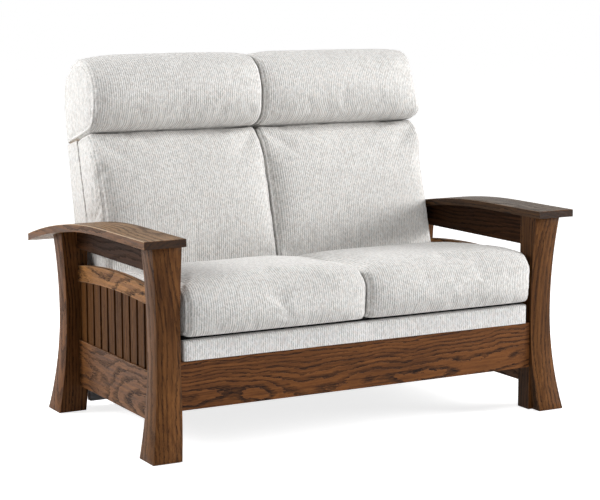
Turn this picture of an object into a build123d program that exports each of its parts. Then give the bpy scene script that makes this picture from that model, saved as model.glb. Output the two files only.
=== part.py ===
# A two-seat mission settle: an oak frame with slatted, arched end panels and flared legs,
# a sprung seat and a leaning upholstered back, two loose seat cushions,
# two back cushions and two head cushions.
# Millimetres. X runs across the settle, Y from front to back, Z up.
# Depths in this file are measured from the front edge of the front feet.
# The finished pieces are moved at the end, so that the origin is on the floor
# under the middle of the whole settle.
import os
from math import cos, radians, sin, tan

from build123d import *

os.makedirs("parts", exist_ok=True)

# Overall sizes
feet_half_span = 708        # outer edge of a foot, from the centre line
feet_depth = 816            # front of the front feet to the back of the rear feet
arm_top_height = 636

# Foot glides
glide_thickness = 2
glide_radius = 16
glide_sides = 12

# Legs: concave in front and at the side, narrowest at the waist
foot_width = 104
leg_depth = 97              # at the foot, front to back
leg_waist_height = 322
leg_face_flare = 35         # the foot stands this far before the waist
leg_side_flare = 30.5       # and this far outside it
leg_top_face_flare = 18     # the same two at the top of the leg
leg_top_side_flare = 17
toe_sweep = 14              # the inner edge is swept outward at the foot
toe_sweep_depth = 40        # on a front leg, only before the front rail
toe_sweep_height = 215

# Arms: flat in front, then falling away in one arc
arm_thickness = 22.7
arm_width = 127.5
arm_side_overhang = 20.5    # outside the feet
arm_front_overhang = 7      # before the front feet
arm_flat_length = 302
arm_drop_radius = 2290
arm_length = 917
arm_edge_ease = 1.4

# End panels: three rails and a row of slats between the legs
rail_thickness = 21.3
rail_set_in = 12.6          # inner face of the rails from the inner face of the legs
lower_rail_bottom = 83
lower_rail_height = 147.5
upper_rail_depth = 114.8    # its lower edge, below the top of the arm
side_opening = 34.7         # under the upper rail, at the crest of the arched rail
arched_rail_height = 50     # at its ends
arched_rail_bottom_rise = 16
arched_rail_top_rise = 20.5
slat_count = 11
slat_width = 42.5
slat_thickness = 12
slat_housing = 9            # how deep a slat's end sits in its rail
housing_clearance = 1
tenon_length = 30
tenon_thickness = 10
tenon_shoulder = 10
upper_tenon_height = 28
mortise_clearance = 1       # at the end of a tenon

# Front rail
front_rail_setback = 40     # front face, behind the front feet
front_rail_thickness = 22
front_rail_bottom = 138.5
front_rail_height = 141

# Dowels that hold the arms
dowel_radius = 5
dowel_hole_clearance = 0.1
dowel_in_leg = 22
dowel_in_arm = 14
dowel_spacing = 38
dowel_setback = 46          # from the panel face of the leg

# Seat frame
body_gap = 16               # between the upholstered body and the legs
board = 25                  # thickness of the frame's boards
seat_frame_rise = 11.5      # bottom of the frame, above the bottom of the front rail
seat_frame_setback = 201    # back face of the rear board, before the back of the rear feet
centre_board_drop = 48
corner_block_leg = 75
corner_block_height = 55
corner_block_rise = 35      # above the bottom of the frame

# Seat slope and deck
seat_rake = 5
seat_over_rail = 69.5       # underside of the seat cushions over the front rail, at its face
deck_pad_thickness = 14
soft_clearance = 0.4        # between a soft piece and what it rests on
springs_per_seat = 5
spring_wire = 3.5
spring_width = 48
spring_bars = 14
clip_thickness = 1.5
clip_width = 24
clip_reach = 12

# Upholstered strip above the front rail
band_height = 59
band_end_inset = 12         # from the legs
band_edge_round = 9

# Cleats and fasteners between the end panels and the seat frame
cleat_height = 70
cleat_setback = 15          # behind the front legs
bolt_count = 3
bolt_radius = 4
bolt_hole_clearance = 0.2
bolt_head_across = 13
bolt_head_height = 5.3
washer_radius = 9
washer_thickness = 1.6
bolt_tip_cover = 5          # wood left outside a bolt's tip
screw_count = 4
screw_radius = 2.4
screw_head_radius = 5
screw_head_height = 3
screw_tip_cover = 6
fastener_sides = 8

# Back frame
back_lean = 15.8
back_foot_forward = 6       # front line of the back, before the seat frame's back face
back_foot_height = 52       # height of that point of the front line
back_top_height = 848
back_top_thickness = 79     # square to the lean
back_bend_height = 593
back_bend_thickness = 103   # level
back_rear_bottom_height = 19
back_bottom_thickness = 182 # level
back_side_bottom_height = 106
back_skin = 3
back_foot_rail_thickness = 20
back_foot_rail_height = 120
back_rail_height = 72
back_rail_gap = 2           # between the lower rail and the braces
back_middle_rail_height = 500
back_rail_inset = 4
webbing_count = 7
webbing_width = 50
webbing_thickness = 1.5
webbing_end_distance = 16   # from the ends of the back cushions
brace_thickness = 22
brace_height = 120
brace_seat_lap = 110
brace_back_lap = 95
brace_bolt_inset = 20
dust_cover_thickness = 0.8
dust_cover_inset = 4

# Seat cushions
seat_cushion_thickness = 158
seat_cushion_crown = 15
seat_cushion_nose = 13      # how far the front face swells in the middle
seat_cushion_overhang = 21  # before the front rail's face
seat_cushion_face_tip = 9   # the top of the front face stands further out
seat_cushion_tuck = 17      # drawn in all round at the end panels
seat_nose_round = 52
seat_belly_round = 22
seat_side_overhang = 2      # beyond the body
cushion_centre_gap = 3
seat_back_gap = 3

# Back cushions
back_cushion_thickness = 141
back_cushion_crown = 26
back_cushion_tuck = 13
back_cushion_drop = 33      # its lower end, below the front of the seat slope
back_cushion_flat_rise = 135 # flat behind the seat cushion up to here, above the slope's front
back_cushion_shoulder = 128 # length of the rounded top corner, along the lean
back_cushion_shoulder_drop = 40

# Head cushions, from the top front corner of the back frame
head_height = 255
head_reach = 155            # forward
head_rear_reach = 98
head_rear_overhang = 5
head_crown = 10
head_nose = 20
head_tuck = 13
head_front_bottom_share = 0.684
head_front_middle_shares = (1.0, 0.537)
head_front_top_shares = (0.852, 0.831)
head_crest_shares = (0.316, 1.0)
head_rear_top_shares = (0.54, 0.839)
head_rear_middle_shares = (1.0, 0.596)

# Cushion sections: place along the width, share of the crown, share of the tuck
cushion_end_shares = (
    (0, 0, 1), (0.022, 0.12, 0.36), (0.07, 0.48, 0.09), (0.16, 0.78, 0), (0.31, 0.95, 0),
)

# Derived values
inner_half_span = feet_half_span - foot_width
body_half_width = inner_half_span - body_gap
arm_outer_half_span = feet_half_span + arm_side_overhang
arm_inner_half_span = arm_outer_half_span - arm_width
rail_inner_half_span = inner_half_span + rail_set_in
rail_outer_half_span = rail_inner_half_span + rail_thickness
rail_middle = rail_inner_half_span + rail_thickness / 2
panel_front = leg_depth
panel_back = feet_depth - leg_depth
arm_under_height = arm_top_height - arm_thickness
arm_front = -arm_front_overhang
arm_bend = arm_front + arm_flat_length
lower_rail_top = lower_rail_bottom + lower_rail_height
upper_rail_bottom = arm_top_height - upper_rail_depth
arched_rail_end_top = upper_rail_bottom - side_opening - arched_rail_top_rise
arched_rail_end_bottom = arched_rail_end_top - arched_rail_height
front_rail_top = front_rail_bottom + front_rail_height
front_rail_back = front_rail_setback + front_rail_thickness
band_top_height = front_rail_top + band_height
band_half_width = inner_half_span - band_end_inset
seat_front_height = front_rail_top + seat_over_rail
seat_frame_bottom = front_rail_bottom + seat_frame_rise
seat_frame_end = feet_depth - seat_frame_setback
board_inner = body_half_width - board
brace_inner = board_inner - brace_thickness
front_board_back = front_rail_back + board
cleat_front = leg_depth + cleat_setback
back_foot_depth = seat_frame_end - back_foot_forward
back_lower_rail_height = (
    seat_frame_bottom + brace_height + back_rail_gap
    + (back_rail_inset + board) * sin(radians(back_lean))
)
back_cushion_bottom = seat_front_height - back_cushion_drop
back_cushion_flat_top = seat_front_height + back_cushion_flat_rise
overrun = arm_width         # how far a cutting block runs past what it cuts

pieces = {}


def keep(name, shape):
    pieces[name] = shape


def block(x0, x1, y0, y1, z0, z1):
    middle = ((x0 + x1) / 2, (y0 + y1) / 2, (z0 + z1) / 2)
    return Pos(*middle) * Box(abs(x1 - x0), abs(y1 - y0), abs(z1 - z0))


def from_front(face, y0, y1):
    """A face drawn as (x, z), as seen from the front, from depth y0 to y1."""
    plane = Plane(origin=(0, y0, 0), x_dir=(1, 0, 0), z_dir=(0, -1, 0))
    return extrude(plane * face, amount=y1 - y0, dir=(0, 1, 0))


def from_side(face, x0, x1):
    """A face drawn as (y, z), as seen from the side, from x0 to x1."""
    plane = Plane(origin=(x0, 0, 0), x_dir=(0, 1, 0), z_dir=(1, 0, 0))
    return extrude(plane * face, amount=x1 - x0, dir=(1, 0, 0))


def polygon(points):
    return make_face(Polyline(*points, close=True))


def across_x(radius, x0, x1, y, z):
    """A bar along X with few sides; its radius is to its corners."""
    return from_side(Pos(y, z) * RegularPolygon(radius, fastener_sides), x0, x1)


def along_y(radius, x, y0, y1, z):
    """The same along Y."""
    return from_front(Pos(x, z) * RegularPolygon(radius, fastener_sides), y0, y1)


def upright(radius, sides, x, y, z0, z1):
    """The same along Z."""
    face = Pos(x, y, z0) * RegularPolygon(radius, sides)
    return extrude(face, amount=z1 - z0, dir=(0, 0, 1))


def mirrored(shape):
    return mirror(shape, about=Plane.YZ)


def keep_pair(name, right):
    keep(name + "_right", right)
    keep(name + "_left", mirrored(right))


def back_line(height):
    """Depth of the back frame's front line at a height."""
    return back_foot_depth + (height - back_foot_height) * tan(radians(back_lean))


def on_back(height, square):
    """A point off the back frame's front line, square to the lean; forward is negative."""
    lean = radians(back_lean)
    return (back_line(height) + square * cos(lean), height - square * sin(lean))


def on_seat(along, up):
    """A point over the seat's slope, from the front rail's face."""
    rake = radians(seat_rake)
    return (
        front_rail_setback + along * cos(rake) + up * sin(rake),
        seat_front_height - along * sin(rake) + up * cos(rake),
    )


def seat_slope_height(depth, up):
    """Height of the seat's slope, moved up square to it, at a depth."""
    rake = radians(seat_rake)
    return seat_front_height - (depth - front_rail_setback) * tan(rake) + up / cos(rake)


deck_under = -soft_clearance - deck_pad_thickness
spring_top = deck_under - soft_clearance - clip_thickness
spring_under = spring_top - spring_wire


# Legs

def curved_side(straight, foot, waist, top, height):
    """Outline with one straight edge and one concave edge, narrowest at the waist."""
    lower = TangentArc((waist, leg_waist_height), (foot, glide_thickness), tangent=(0, -1))
    upper = TangentArc((waist, leg_waist_height), (top, height), tangent=(0, 1))
    edges = [
        lower, upper,
        Line((top, height), (straight, height)),
        Line((straight, height), (straight, glide_thickness)),
        Line((straight, glide_thickness), (foot, glide_thickness)),
    ]
    return make_face(edges)


def leg_blank():
    """The right front leg before its toe and its joints are cut."""
    waist_x = feet_half_span - leg_side_flare
    seen_from_front = curved_side(
        inner_half_span, feet_half_span, waist_x, waist_x + leg_top_side_flare, arm_under_height
    )
    seen_from_side = curved_side(
        leg_depth, 0, leg_face_flare, leg_face_flare - leg_top_face_flare, arm_under_height
    )
    return from_front(seen_from_front, 0, leg_depth) & from_side(
        seen_from_side, inner_half_span, feet_half_span
    )


def toe_cut(y0, y1):
    """What is taken off the inner edge, so that the toe turns outward."""
    inside = inner_half_span - toe_sweep
    low = glide_thickness
    edges = [
        TangentArc(
            (inner_half_span, toe_sweep_height), (inner_half_span + toe_sweep, low), tangent=(0, -1)
        ),
        Line((inner_half_span + toe_sweep, low), (inside, low)),
        Line((inside, low), (inside, toe_sweep_height)),
        Line((inside, toe_sweep_height), (inner_half_span, toe_sweep_height)),
    ]
    return from_front(make_face(edges), y0, y1)


def rail_tenon_heights():
    return (
        (lower_rail_bottom + tenon_shoulder, lower_rail_top - tenon_shoulder),
        (arched_rail_end_bottom + tenon_shoulder, arched_rail_end_top - tenon_shoulder),
        (upper_rail_bottom + tenon_shoulder, upper_rail_bottom + tenon_shoulder + upper_tenon_height),
    )


def panel_mortises(face, direction):
    """Mortises for the three side rails in a leg, going in from its panel face."""
    depth = tenon_length + mortise_clearance
    x0 = rail_middle - tenon_thickness / 2
    x1 = rail_middle + tenon_thickness / 2
    return [
        block(x0, x1, face, face + direction * depth, low, high)
        for low, high in rail_tenon_heights()
    ]


def front_tenon_box(length):
    """Tenon on the right end of the front rail, or its mortise, by its length."""
    middle = front_rail_setback + front_rail_thickness / 2
    return block(
        inner_half_span, inner_half_span + length,
        middle - tenon_thickness / 2, middle + tenon_thickness / 2,
        front_rail_bottom + tenon_shoulder, front_rail_top - tenon_shoulder,
    )


def arm_underside(depth):
    """Height of the arm's underside at a depth."""
    if depth <= arm_bend:
        return arm_under_height
    radius = arm_drop_radius - arm_thickness
    return arm_under_height - radius + (radius ** 2 - (depth - arm_bend) ** 2) ** 0.5


def dowel_places():
    """Centres of the arm's dowels on the right, with the height of the joint there."""
    middle = (inner_half_span + feet_half_span - leg_side_flare) / 2
    places = []
    for depth in (panel_front - dowel_setback, panel_back + dowel_setback):
        for side in (-1, 1):
            places.append((middle + side * dowel_spacing / 2, depth, arm_underside(depth)))
    return places


def dowel_bars(radius):
    return [
        upright(radius, fastener_sides, x, y, z - dowel_in_leg, z + dowel_in_arm)
        for x, y, z in dowel_places()
    ]


def over_arm_underside():
    """Everything above the arm's underside, to cut what stands under the arm."""
    back = feet_depth + overrun
    radius = arm_drop_radius - arm_thickness
    fall = radius - (radius ** 2 - (back - arm_bend) ** 2) ** 0.5
    high = arm_top_height + overrun
    edges = [
        Line((-overrun, arm_under_height), (arm_bend, arm_under_height)),
        TangentArc((arm_bend, arm_under_height), (back, arm_under_height - fall), tangent=(1, 0)),
        Line((back, arm_under_height - fall), (back, high)),
        Line((back, high), (-overrun, high)),
        Line((-overrun, high), (-overrun, arm_under_height)),
    ]
    return from_side(make_face(edges), inner_half_span - overrun, arm_outer_half_span + overrun)


def make_legs():
    blank = leg_blank()
    holes = dowel_bars(dowel_radius + dowel_hole_clearance)
    front = blank - toe_cut(0, toe_sweep_depth) - panel_mortises(panel_front, -1) - holes
    front -= front_tenon_box(tenon_length + mortise_clearance)
    keep_pair("front_leg", front)
    turned = mirror(blank, about=Plane.XZ.offset(-feet_depth / 2))
    turned -= toe_cut(panel_back, feet_depth)
    rear = turned - over_arm_underside() - panel_mortises(panel_back, 1) - holes
    keep_pair("rear_leg", rear)
    foot_middle = (inner_half_span + toe_sweep + feet_half_span) / 2
    keep("foot_glides", Compound(children=[
        upright(glide_radius, glide_sides, side * foot_middle, depth, 0, glide_thickness)
        for side in (-1, 1)
        for depth in (leg_depth / 2, feet_depth - leg_depth / 2)
    ]))


# Arms

def arm_blank():
    end = arm_front + arm_length
    inner_radius = arm_drop_radius - arm_thickness

    def fall(radius):
        return radius - (radius ** 2 - (end - arm_bend) ** 2) ** 0.5

    top_end = (end, arm_top_height - fall(arm_drop_radius))
    under_end = (end, arm_under_height - fall(inner_radius))
    edges = [
        Line((arm_front, arm_under_height), (arm_front, arm_top_height)),
        Line((arm_front, arm_top_height), (arm_bend, arm_top_height)),
        TangentArc((arm_bend, arm_top_height), top_end, tangent=(1, 0)),
        Line(top_end, under_end),
        TangentArc((arm_bend, arm_under_height), under_end, tangent=(1, 0)),
        Line((arm_bend, arm_under_height), (arm_front, arm_under_height)),
    ]
    arm = from_side(make_face(edges), arm_inner_half_span, arm_outer_half_span)
    eased = arm.edges().filter_by(
        lambda e: e.center().Z > arm_underside(e.center().Y) + arm_thickness * 0.6
    )
    return chamfer(eased, arm_edge_ease)


def make_arms():
    arm = arm_blank() - dowel_bars(dowel_radius + dowel_hole_clearance)
    keep_pair("arm", arm)
    dowels = dowel_bars(dowel_radius)
    keep("arm_dowels", Compound(children=dowels + [mirrored(bar) for bar in dowels]))


# End panels

def with_tenons(rail, low, high):
    x0 = rail_middle - tenon_thickness / 2
    x1 = rail_middle + tenon_thickness / 2
    rail += block(x0, x1, panel_front - tenon_length, panel_front, low, high)
    rail += block(x0, x1, panel_back, panel_back + tenon_length, low, high)
    return rail


def arched_rail_face(bottom, bottom_rise, top, top_rise):
    middle = feet_depth / 2
    edges = [
        ThreePointArc((panel_front, bottom), (middle, bottom + bottom_rise), (panel_back, bottom)),
        Line((panel_back, bottom), (panel_back, top)),
        ThreePointArc((panel_back, top), (middle, top + top_rise), (panel_front, top)),
        Line((panel_front, top), (panel_front, bottom)),
    ]
    return make_face(edges)


def slat_depths():
    gap = (panel_back - panel_front - slat_count * slat_width) / (slat_count + 1)
    first = panel_front + gap + slat_width / 2
    return [first + n * (gap + slat_width) for n in range(slat_count)]


def arched_rail_underside(depth):
    """Height of the arched rail's lower edge at a depth."""
    half = (panel_back - panel_front) / 2
    radius = (half ** 2 + arched_rail_bottom_rise ** 2) / (2 * arched_rail_bottom_rise)
    crest = arched_rail_end_bottom + arched_rail_bottom_rise
    return crest - radius + (radius ** 2 - (depth - feet_depth / 2) ** 2) ** 0.5


def slat_boxes(extra):
    """The slats, or with an extra length at each end, what is cut for them."""
    boxes = []
    for depth in slat_depths():
        top = arched_rail_underside(depth) + slat_housing
        boxes.append(block(
            rail_middle - slat_thickness / 2, rail_middle + slat_thickness / 2,
            depth - slat_width / 2, depth + slat_width / 2,
            lower_rail_top - slat_housing - extra, top + extra,
        ))
    return boxes


def make_panels():
    heights = rail_tenon_heights()
    housings = slat_boxes(housing_clearance)
    lower = block(
        rail_inner_half_span, rail_outer_half_span, panel_front, panel_back,
        lower_rail_bottom, lower_rail_top,
    )
    lower = with_tenons(lower, *heights[0]) - housings
    for bar in bolt_bars(bolt_radius + bolt_hole_clearance):
        lower -= bar
    keep_pair("lower_side_rail", lower)
    arched = from_side(
        arched_rail_face(
            arched_rail_end_bottom, arched_rail_bottom_rise, arched_rail_end_top, arched_rail_top_rise
        ),
        rail_inner_half_span, rail_outer_half_span,
    )
    keep_pair("arched_side_rail", with_tenons(arched, *heights[1]) - housings)
    upper = block(
        rail_inner_half_span, rail_outer_half_span, panel_front, panel_back,
        upper_rail_bottom, arm_top_height,
    )
    keep_pair("upper_side_rail", with_tenons(upper - over_arm_underside(), *heights[2]))
    slats = slat_boxes(0)
    keep("side_slats_right", Compound(children=slats))
    keep("side_slats_left", Compound(children=[mirrored(slat) for slat in slats]))


# Front rail

def screw_places():
    step = 2 * body_half_width / screw_count
    return [(n + 0.5) * step - body_half_width for n in range(screw_count)]


def screw_bars():
    tip = front_rail_setback + screw_tip_cover
    height = (front_rail_bottom + front_rail_top) / 2
    return [along_y(screw_radius, x, tip, front_board_back, height) for x in screw_places()]


def make_front_rail():
    rail = block(
        -inner_half_span, inner_half_span, front_rail_setback, front_rail_back,
        front_rail_bottom, front_rail_top,
    )
    tenon = front_tenon_box(tenon_length)
    rail = rail + tenon + mirrored(tenon)
    keep("front_rail", rail - screw_bars())
    height = (front_rail_bottom + front_rail_top) / 2
    screws = []
    for x, bar in zip(screw_places(), screw_bars()):
        head = along_y(
            screw_head_radius, x, front_board_back, front_board_back + screw_head_height, height
        )
        screws.append(bar + head)
    keep("front_rail_screws", Compound(children=screws))


def make_front_band():
    """Padded strip that stands on the front rail, before the seat frame."""
    back = front_rail_back - soft_clearance
    low = front_rail_top + soft_clearance
    edges_round = band_edge_round
    band = block(
        -band_half_width, band_half_width, front_rail_setback, back, low, band_top_height
    )
    front_top = band.edges().filter_by(Axis.X).sort_by(lambda e: e.center().Z - e.center().Y)[-1]
    ends = band.faces().sort_by(Axis.Y)[0].edges().filter_by(Axis.Z)
    keep("front_band", fillet([front_top] + list(ends), edges_round))


# Seat frame

def bolt_depths():
    step = (seat_frame_end - brace_seat_lap - cleat_front) / bolt_count
    return [cleat_front + (n + 0.5) * step for n in range(bolt_count)]


def bolt_height():
    return lower_rail_top - cleat_height / 2


def bolt_bars(radius):
    tip = rail_outer_half_span - bolt_tip_cover
    return [
        across_x(radius, board_inner - washer_thickness, tip, depth, bolt_height())
        for depth in bolt_depths()
    ]


def hex_head(x0, x1, y, z, across):
    face = Pos(y, z) * RegularPolygon(across / 2, 6, major_radius=False)
    return from_side(face, x0, x1)


def brace_bolt_places():
    places = []
    for height in (
        seat_frame_bottom + brace_bolt_inset,
        seat_frame_bottom + brace_height - brace_bolt_inset,
    ):
        places.append((seat_frame_end - brace_seat_lap / 2, height))
        places.append((back_line(height) + brace_back_lap / 2, height))
    return places


def brace_bars(radius):
    tip = body_half_width - back_skin - bolt_tip_cover
    return [
        across_x(radius, brace_inner, tip, depth, height) for depth, height in brace_bolt_places()
    ]


def make_seat_frame():
    front = block(
        -body_half_width, body_half_width, front_rail_back, front_board_back,
        seat_frame_bottom, seat_front_height,
    )
    below = over_springs()
    front = front - below - screw_bars()
    keep("seat_front_board", front)
    rear = block(
        -brace_inner, brace_inner, seat_frame_end - board, seat_frame_end,
        seat_frame_bottom, seat_front_height,
    )
    keep("seat_rear_board", rear - below)
    side = block(
        board_inner, body_half_width, front_board_back, seat_frame_end,
        seat_frame_bottom, seat_front_height,
    ) - below
    side = side - bolt_bars(bolt_radius + bolt_hole_clearance)
    side = side - brace_bars(bolt_radius + bolt_hole_clearance)
    keep_pair("seat_side_board", side)
    middle = block(
        -board / 2, board / 2, front_board_back, seat_frame_end - board,
        seat_frame_bottom, seat_slope_height(seat_frame_end, spring_under) - centre_board_drop,
    )
    keep("seat_centre_board", middle)
    keep("corner_blocks", Compound(children=corner_blocks()))
    cleat = block(
        body_half_width, rail_inner_half_span, cleat_front, seat_frame_end - board,
        lower_rail_top - cleat_height, lower_rail_top,
    )
    keep_pair("side_cleat", cleat - bolt_bars(bolt_radius + bolt_hole_clearance))
    keep("dust_cover", block(
        -body_half_width + dust_cover_inset, body_half_width - dust_cover_inset,
        front_rail_back + dust_cover_inset, seat_frame_end - dust_cover_inset,
        seat_frame_bottom - dust_cover_thickness, seat_frame_bottom,
    ))


def over_springs():
    """Everything above the slope that the springs lie on."""
    near, far = -overrun, seat_frame_end + overrun
    face = polygon([
        (near, seat_slope_height(near, spring_under)),
        (far, seat_slope_height(far, spring_under)),
        (far, seat_front_height + overrun),
        (near, seat_front_height + overrun),
    ])
    return from_side(face, -arm_outer_half_span, arm_outer_half_span)


def corner_blocks():
    blocks = []
    low = seat_frame_bottom + corner_block_rise
    corners = ((board_inner, front_board_back, 1), (brace_inner, seat_frame_end - board, -1))
    for x, y, toward in corners:
        face = polygon([(x, y), (x - corner_block_leg, y), (x, y + toward * corner_block_leg)])
        corner = extrude(Pos(0, 0, low) * face, amount=corner_block_height, dir=(0, 0, 1))
        blocks += [corner, mirrored(corner)]
    return blocks


def spring_shape():
    """One flat zigzag spring, lying along +Y from its first bar."""
    run = seat_frame_end - board / 2 - (front_rail_back + board / 2)
    run = run / cos(radians(seat_rake))
    step = run / (spring_bars - 1)
    bars = [Pos(0, n * step) * Rectangle(spring_width, spring_wire) for n in range(spring_bars)]
    links = []
    for n in range(spring_bars - 1):
        side = 1 if n % 2 == 0 else -1
        x = side * (spring_width - spring_wire) / 2
        links.append(Pos(x, (n + 0.5) * step) * Rectangle(spring_wire, step))
    return extrude(Sketch() + bars + links, amount=spring_wire), run


def spring_places():
    width = body_half_width - board
    step = width / springs_per_seat
    return [side * (n + 0.5) * step for side in (-1, 1) for n in range(springs_per_seat)]


def seat_plane(x, along, up):
    y, z = on_seat(along, up)
    return Plane(origin=(x, y, z), x_dir=(1, 0, 0), z_dir=(0, sin(radians(seat_rake)), cos(radians(seat_rake))))


def make_springs():
    spring, run = spring_shape()
    start = (front_rail_back + board / 2 - front_rail_setback) / cos(radians(seat_rake))
    keep("seat_springs", Compound(children=[
        seat_plane(x, start, spring_under) * spring for x in spring_places()
    ]))
    clips = []
    for x in spring_places():
        for along, way in ((start, 1), (start + run, -1)):
            clips.append(spring_clip(x, along, way))
    keep("spring_clips", Compound(children=clips))
    pad_end = (seat_frame_end - front_rail_setback) / cos(radians(seat_rake))
    pad_start = (
        front_rail_back - front_rail_setback + soft_clearance - deck_under * sin(radians(seat_rake))
    ) / cos(radians(seat_rake))
    pad = Box(
        2 * body_half_width, pad_end - pad_start, deck_pad_thickness,
        align=(Align.CENTER, Align.MIN, Align.MIN),
    )
    keep("seat_deck_pad", seat_plane(0, pad_start, deck_under) * pad)


def spring_clip(x, along, way):
    """Bent strip over a spring's end bar, with its foot on the board."""
    outside = along - way * (spring_wire / 2 + clip_thickness)
    inside = along - way * spring_wire / 2
    face = polygon([
        (outside, spring_under),
        (outside, spring_top + clip_thickness),
        (outside + way * clip_reach, spring_top + clip_thickness),
        (outside + way * clip_reach, spring_top),
        (inside, spring_top),
        (inside, spring_under),
    ])
    y, z = on_seat(0, 0)
    tilted = Pos(0, y, z) * Rot(-seat_rake, 0, 0) * from_side(face, -clip_width / 2, clip_width / 2)
    return Pos(x, 0, 0) * tilted


def make_bolts():
    bolts, washers = [], []
    seat = board_inner - washer_thickness
    for depth, bar in zip(bolt_depths(), bolt_bars(bolt_radius)):
        head = hex_head(seat - bolt_head_height, seat, depth, bolt_height(), bolt_head_across)
        bolts.append(bar + head)
        ring = across_x(washer_radius, seat, board_inner, depth, bolt_height())
        washers.append(ring - across_x(bolt_radius + bolt_hole_clearance, seat, board_inner, depth, bolt_height()))
    keep("end_panel_bolts", Compound(children=bolts + [mirrored(b) for b in bolts]))
    keep("end_panel_washers", Compound(children=washers + [mirrored(w) for w in washers]))


# Back frame

def back_rear_points(skin):
    """Points down the back's rear line; the skin is what is left off behind."""
    top = on_back(back_top_height, back_top_thickness)
    bend = back_line(back_bend_height) + back_bend_thickness
    low = back_line(back_rear_bottom_height) + back_bottom_thickness
    return [
        (top[0] - skin, top[1] + skin * sin(radians(back_lean))),
        (bend - skin, back_bend_height),
        (low - skin, back_rear_bottom_height),
    ]


def foot_rail_face():
    """Section of the board across the foot of the back, inside the outer cover."""
    low = back_rear_points(back_skin)[2]
    bend = back_rear_points(back_skin)[1]
    slope = (bend[0] - low[0]) / (bend[1] - low[1])
    high = (low[0] + slope * back_foot_rail_height, low[1] + back_foot_rail_height)
    return polygon([
        low, high,
        (high[0] - back_foot_rail_thickness, high[1]),
        (low[0] - back_foot_rail_thickness, low[1]),
    ])


def back_side_face():
    """Side outline of the back frame, notched for the board across its foot."""
    top, bend, low = back_rear_points(back_skin)
    slope = (bend[0] - low[0]) / (bend[1] - low[1])
    rear_foot = low[0] + slope * (back_side_bottom_height - low[1])
    outline = polygon([
        (back_line(back_side_bottom_height), back_side_bottom_height),
        (back_line(back_top_height), back_top_height),
        top, bend, (rear_foot, back_side_bottom_height),
    ])
    return outline - foot_rail_face()


def make_back_frame():
    side = back_side_face()
    core = from_side(side, board_inner, body_half_width - back_skin)
    core = core - brace_bars(bolt_radius + bolt_hole_clearance)
    keep_pair("back_side_board", core)
    keep_pair("back_side_cover", from_side(side, body_half_width - back_skin, body_half_width))
    keep("back_foot_rail", from_side(foot_rail_face(), -body_half_width, body_half_width))
    skin = polygon(back_rear_points(0) + back_rear_points(back_skin)[::-1])
    keep("outside_back", from_side(skin, -body_half_width, body_half_width))
    up = back_rail_height * cos(radians(back_lean))
    keep("back_lower_rail", back_board(back_lower_rail_height))
    keep("back_middle_rail", back_board(back_middle_rail_height))
    keep("back_top_rail", back_board(back_top_height - up))
    post = polygon([
        on_back(back_lower_rail_height, back_rail_inset + board),
        on_back(back_top_height, back_rail_inset + board),
        on_back(back_top_height, back_rail_inset + 2 * board),
        on_back(back_lower_rail_height, back_rail_inset + 2 * board),
    ])
    keep("back_centre_post", from_side(post, -board, board))


def back_board(height):
    """A board across the back frame, from a height on its front line."""
    up = back_rail_height * cos(radians(back_lean))
    face = polygon([
        on_back(height, back_rail_inset),
        on_back(height + up, back_rail_inset),
        on_back(height + up, back_rail_inset + board),
        on_back(height, back_rail_inset + board),
    ])
    return from_side(face, -board_inner, board_inner)


def make_webbing():
    up = webbing_width * cos(radians(back_lean))
    lowest = back_cushion_bottom + webbing_end_distance + up / 2
    highest = back_top_height - webbing_end_distance - up / 2
    step = (highest - lowest) / (webbing_count - 1)
    bands = []
    for n in range(webbing_count):
        height = lowest + n * step - up / 2
        face = polygon([
            on_back(height, 0), on_back(height + up, 0),
            on_back(height + up, -webbing_thickness), on_back(height, -webbing_thickness),
        ])
        bands.append(from_side(face, -body_half_width, body_half_width))
    keep("back_webbing", Compound(children=bands))


def make_braces():
    """Battens that join the seat's side boards to the back's, inside both."""
    top = seat_frame_bottom + brace_height
    outline = polygon([
        (seat_frame_end - brace_seat_lap, seat_frame_bottom),
        (back_line(seat_frame_bottom) + brace_back_lap, seat_frame_bottom),
        (back_line(top) + brace_back_lap, top),
        (seat_frame_end - brace_seat_lap, top),
    ])
    brace = from_side(outline, brace_inner, board_inner)
    keep_pair("back_brace", brace - brace_bars(bolt_radius + bolt_hole_clearance))
    bolts = []
    for (depth, height), bar in zip(brace_bolt_places(), brace_bars(bolt_radius)):
        head = hex_head(brace_inner - bolt_head_height, brace_inner, depth, height, bolt_head_across)
        bolts.append(bar + head)
    keep("back_brace_bolts", Compound(children=bolts + [mirrored(b) for b in bolts]))


# Cushions

def side_face(edges, x):
    """Edges drawn as (y, z), closed to a face at a place across the settle."""
    plane = Plane(origin=(x, 0, 0), x_dir=(0, 1, 0), z_dir=(1, 0, 0))
    return plane * make_face(edges)


def lofted(section, low, high):
    """A cushion from end panel to end panel; section(full, tuck) draws it at one place."""
    near = [(place, full, tuck) for place, full, tuck in cushion_end_shares]
    far = [(1 - place, full, tuck) for place, full, tuck in reversed(cushion_end_shares)]
    places = near + [(0.5, 1, 0)] + far
    faces = [side_face(section(full, tuck), low + place * (high - low)) for place, full, tuck in places]
    return loft(faces, ruled=True)


def seat_rear_along(up):
    """Place along the seat's slope of the cushion's rear face, close before the back."""
    rake, lean = radians(seat_rake), radians(back_lean)
    level = (back_cushion_thickness + seat_back_gap) / cos(lean)
    height = seat_front_height + up * cos(rake)
    depth = back_line(height) - level - front_rail_setback - up * sin(rake)
    return depth / (cos(rake) + sin(rake) * tan(lean))


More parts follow.
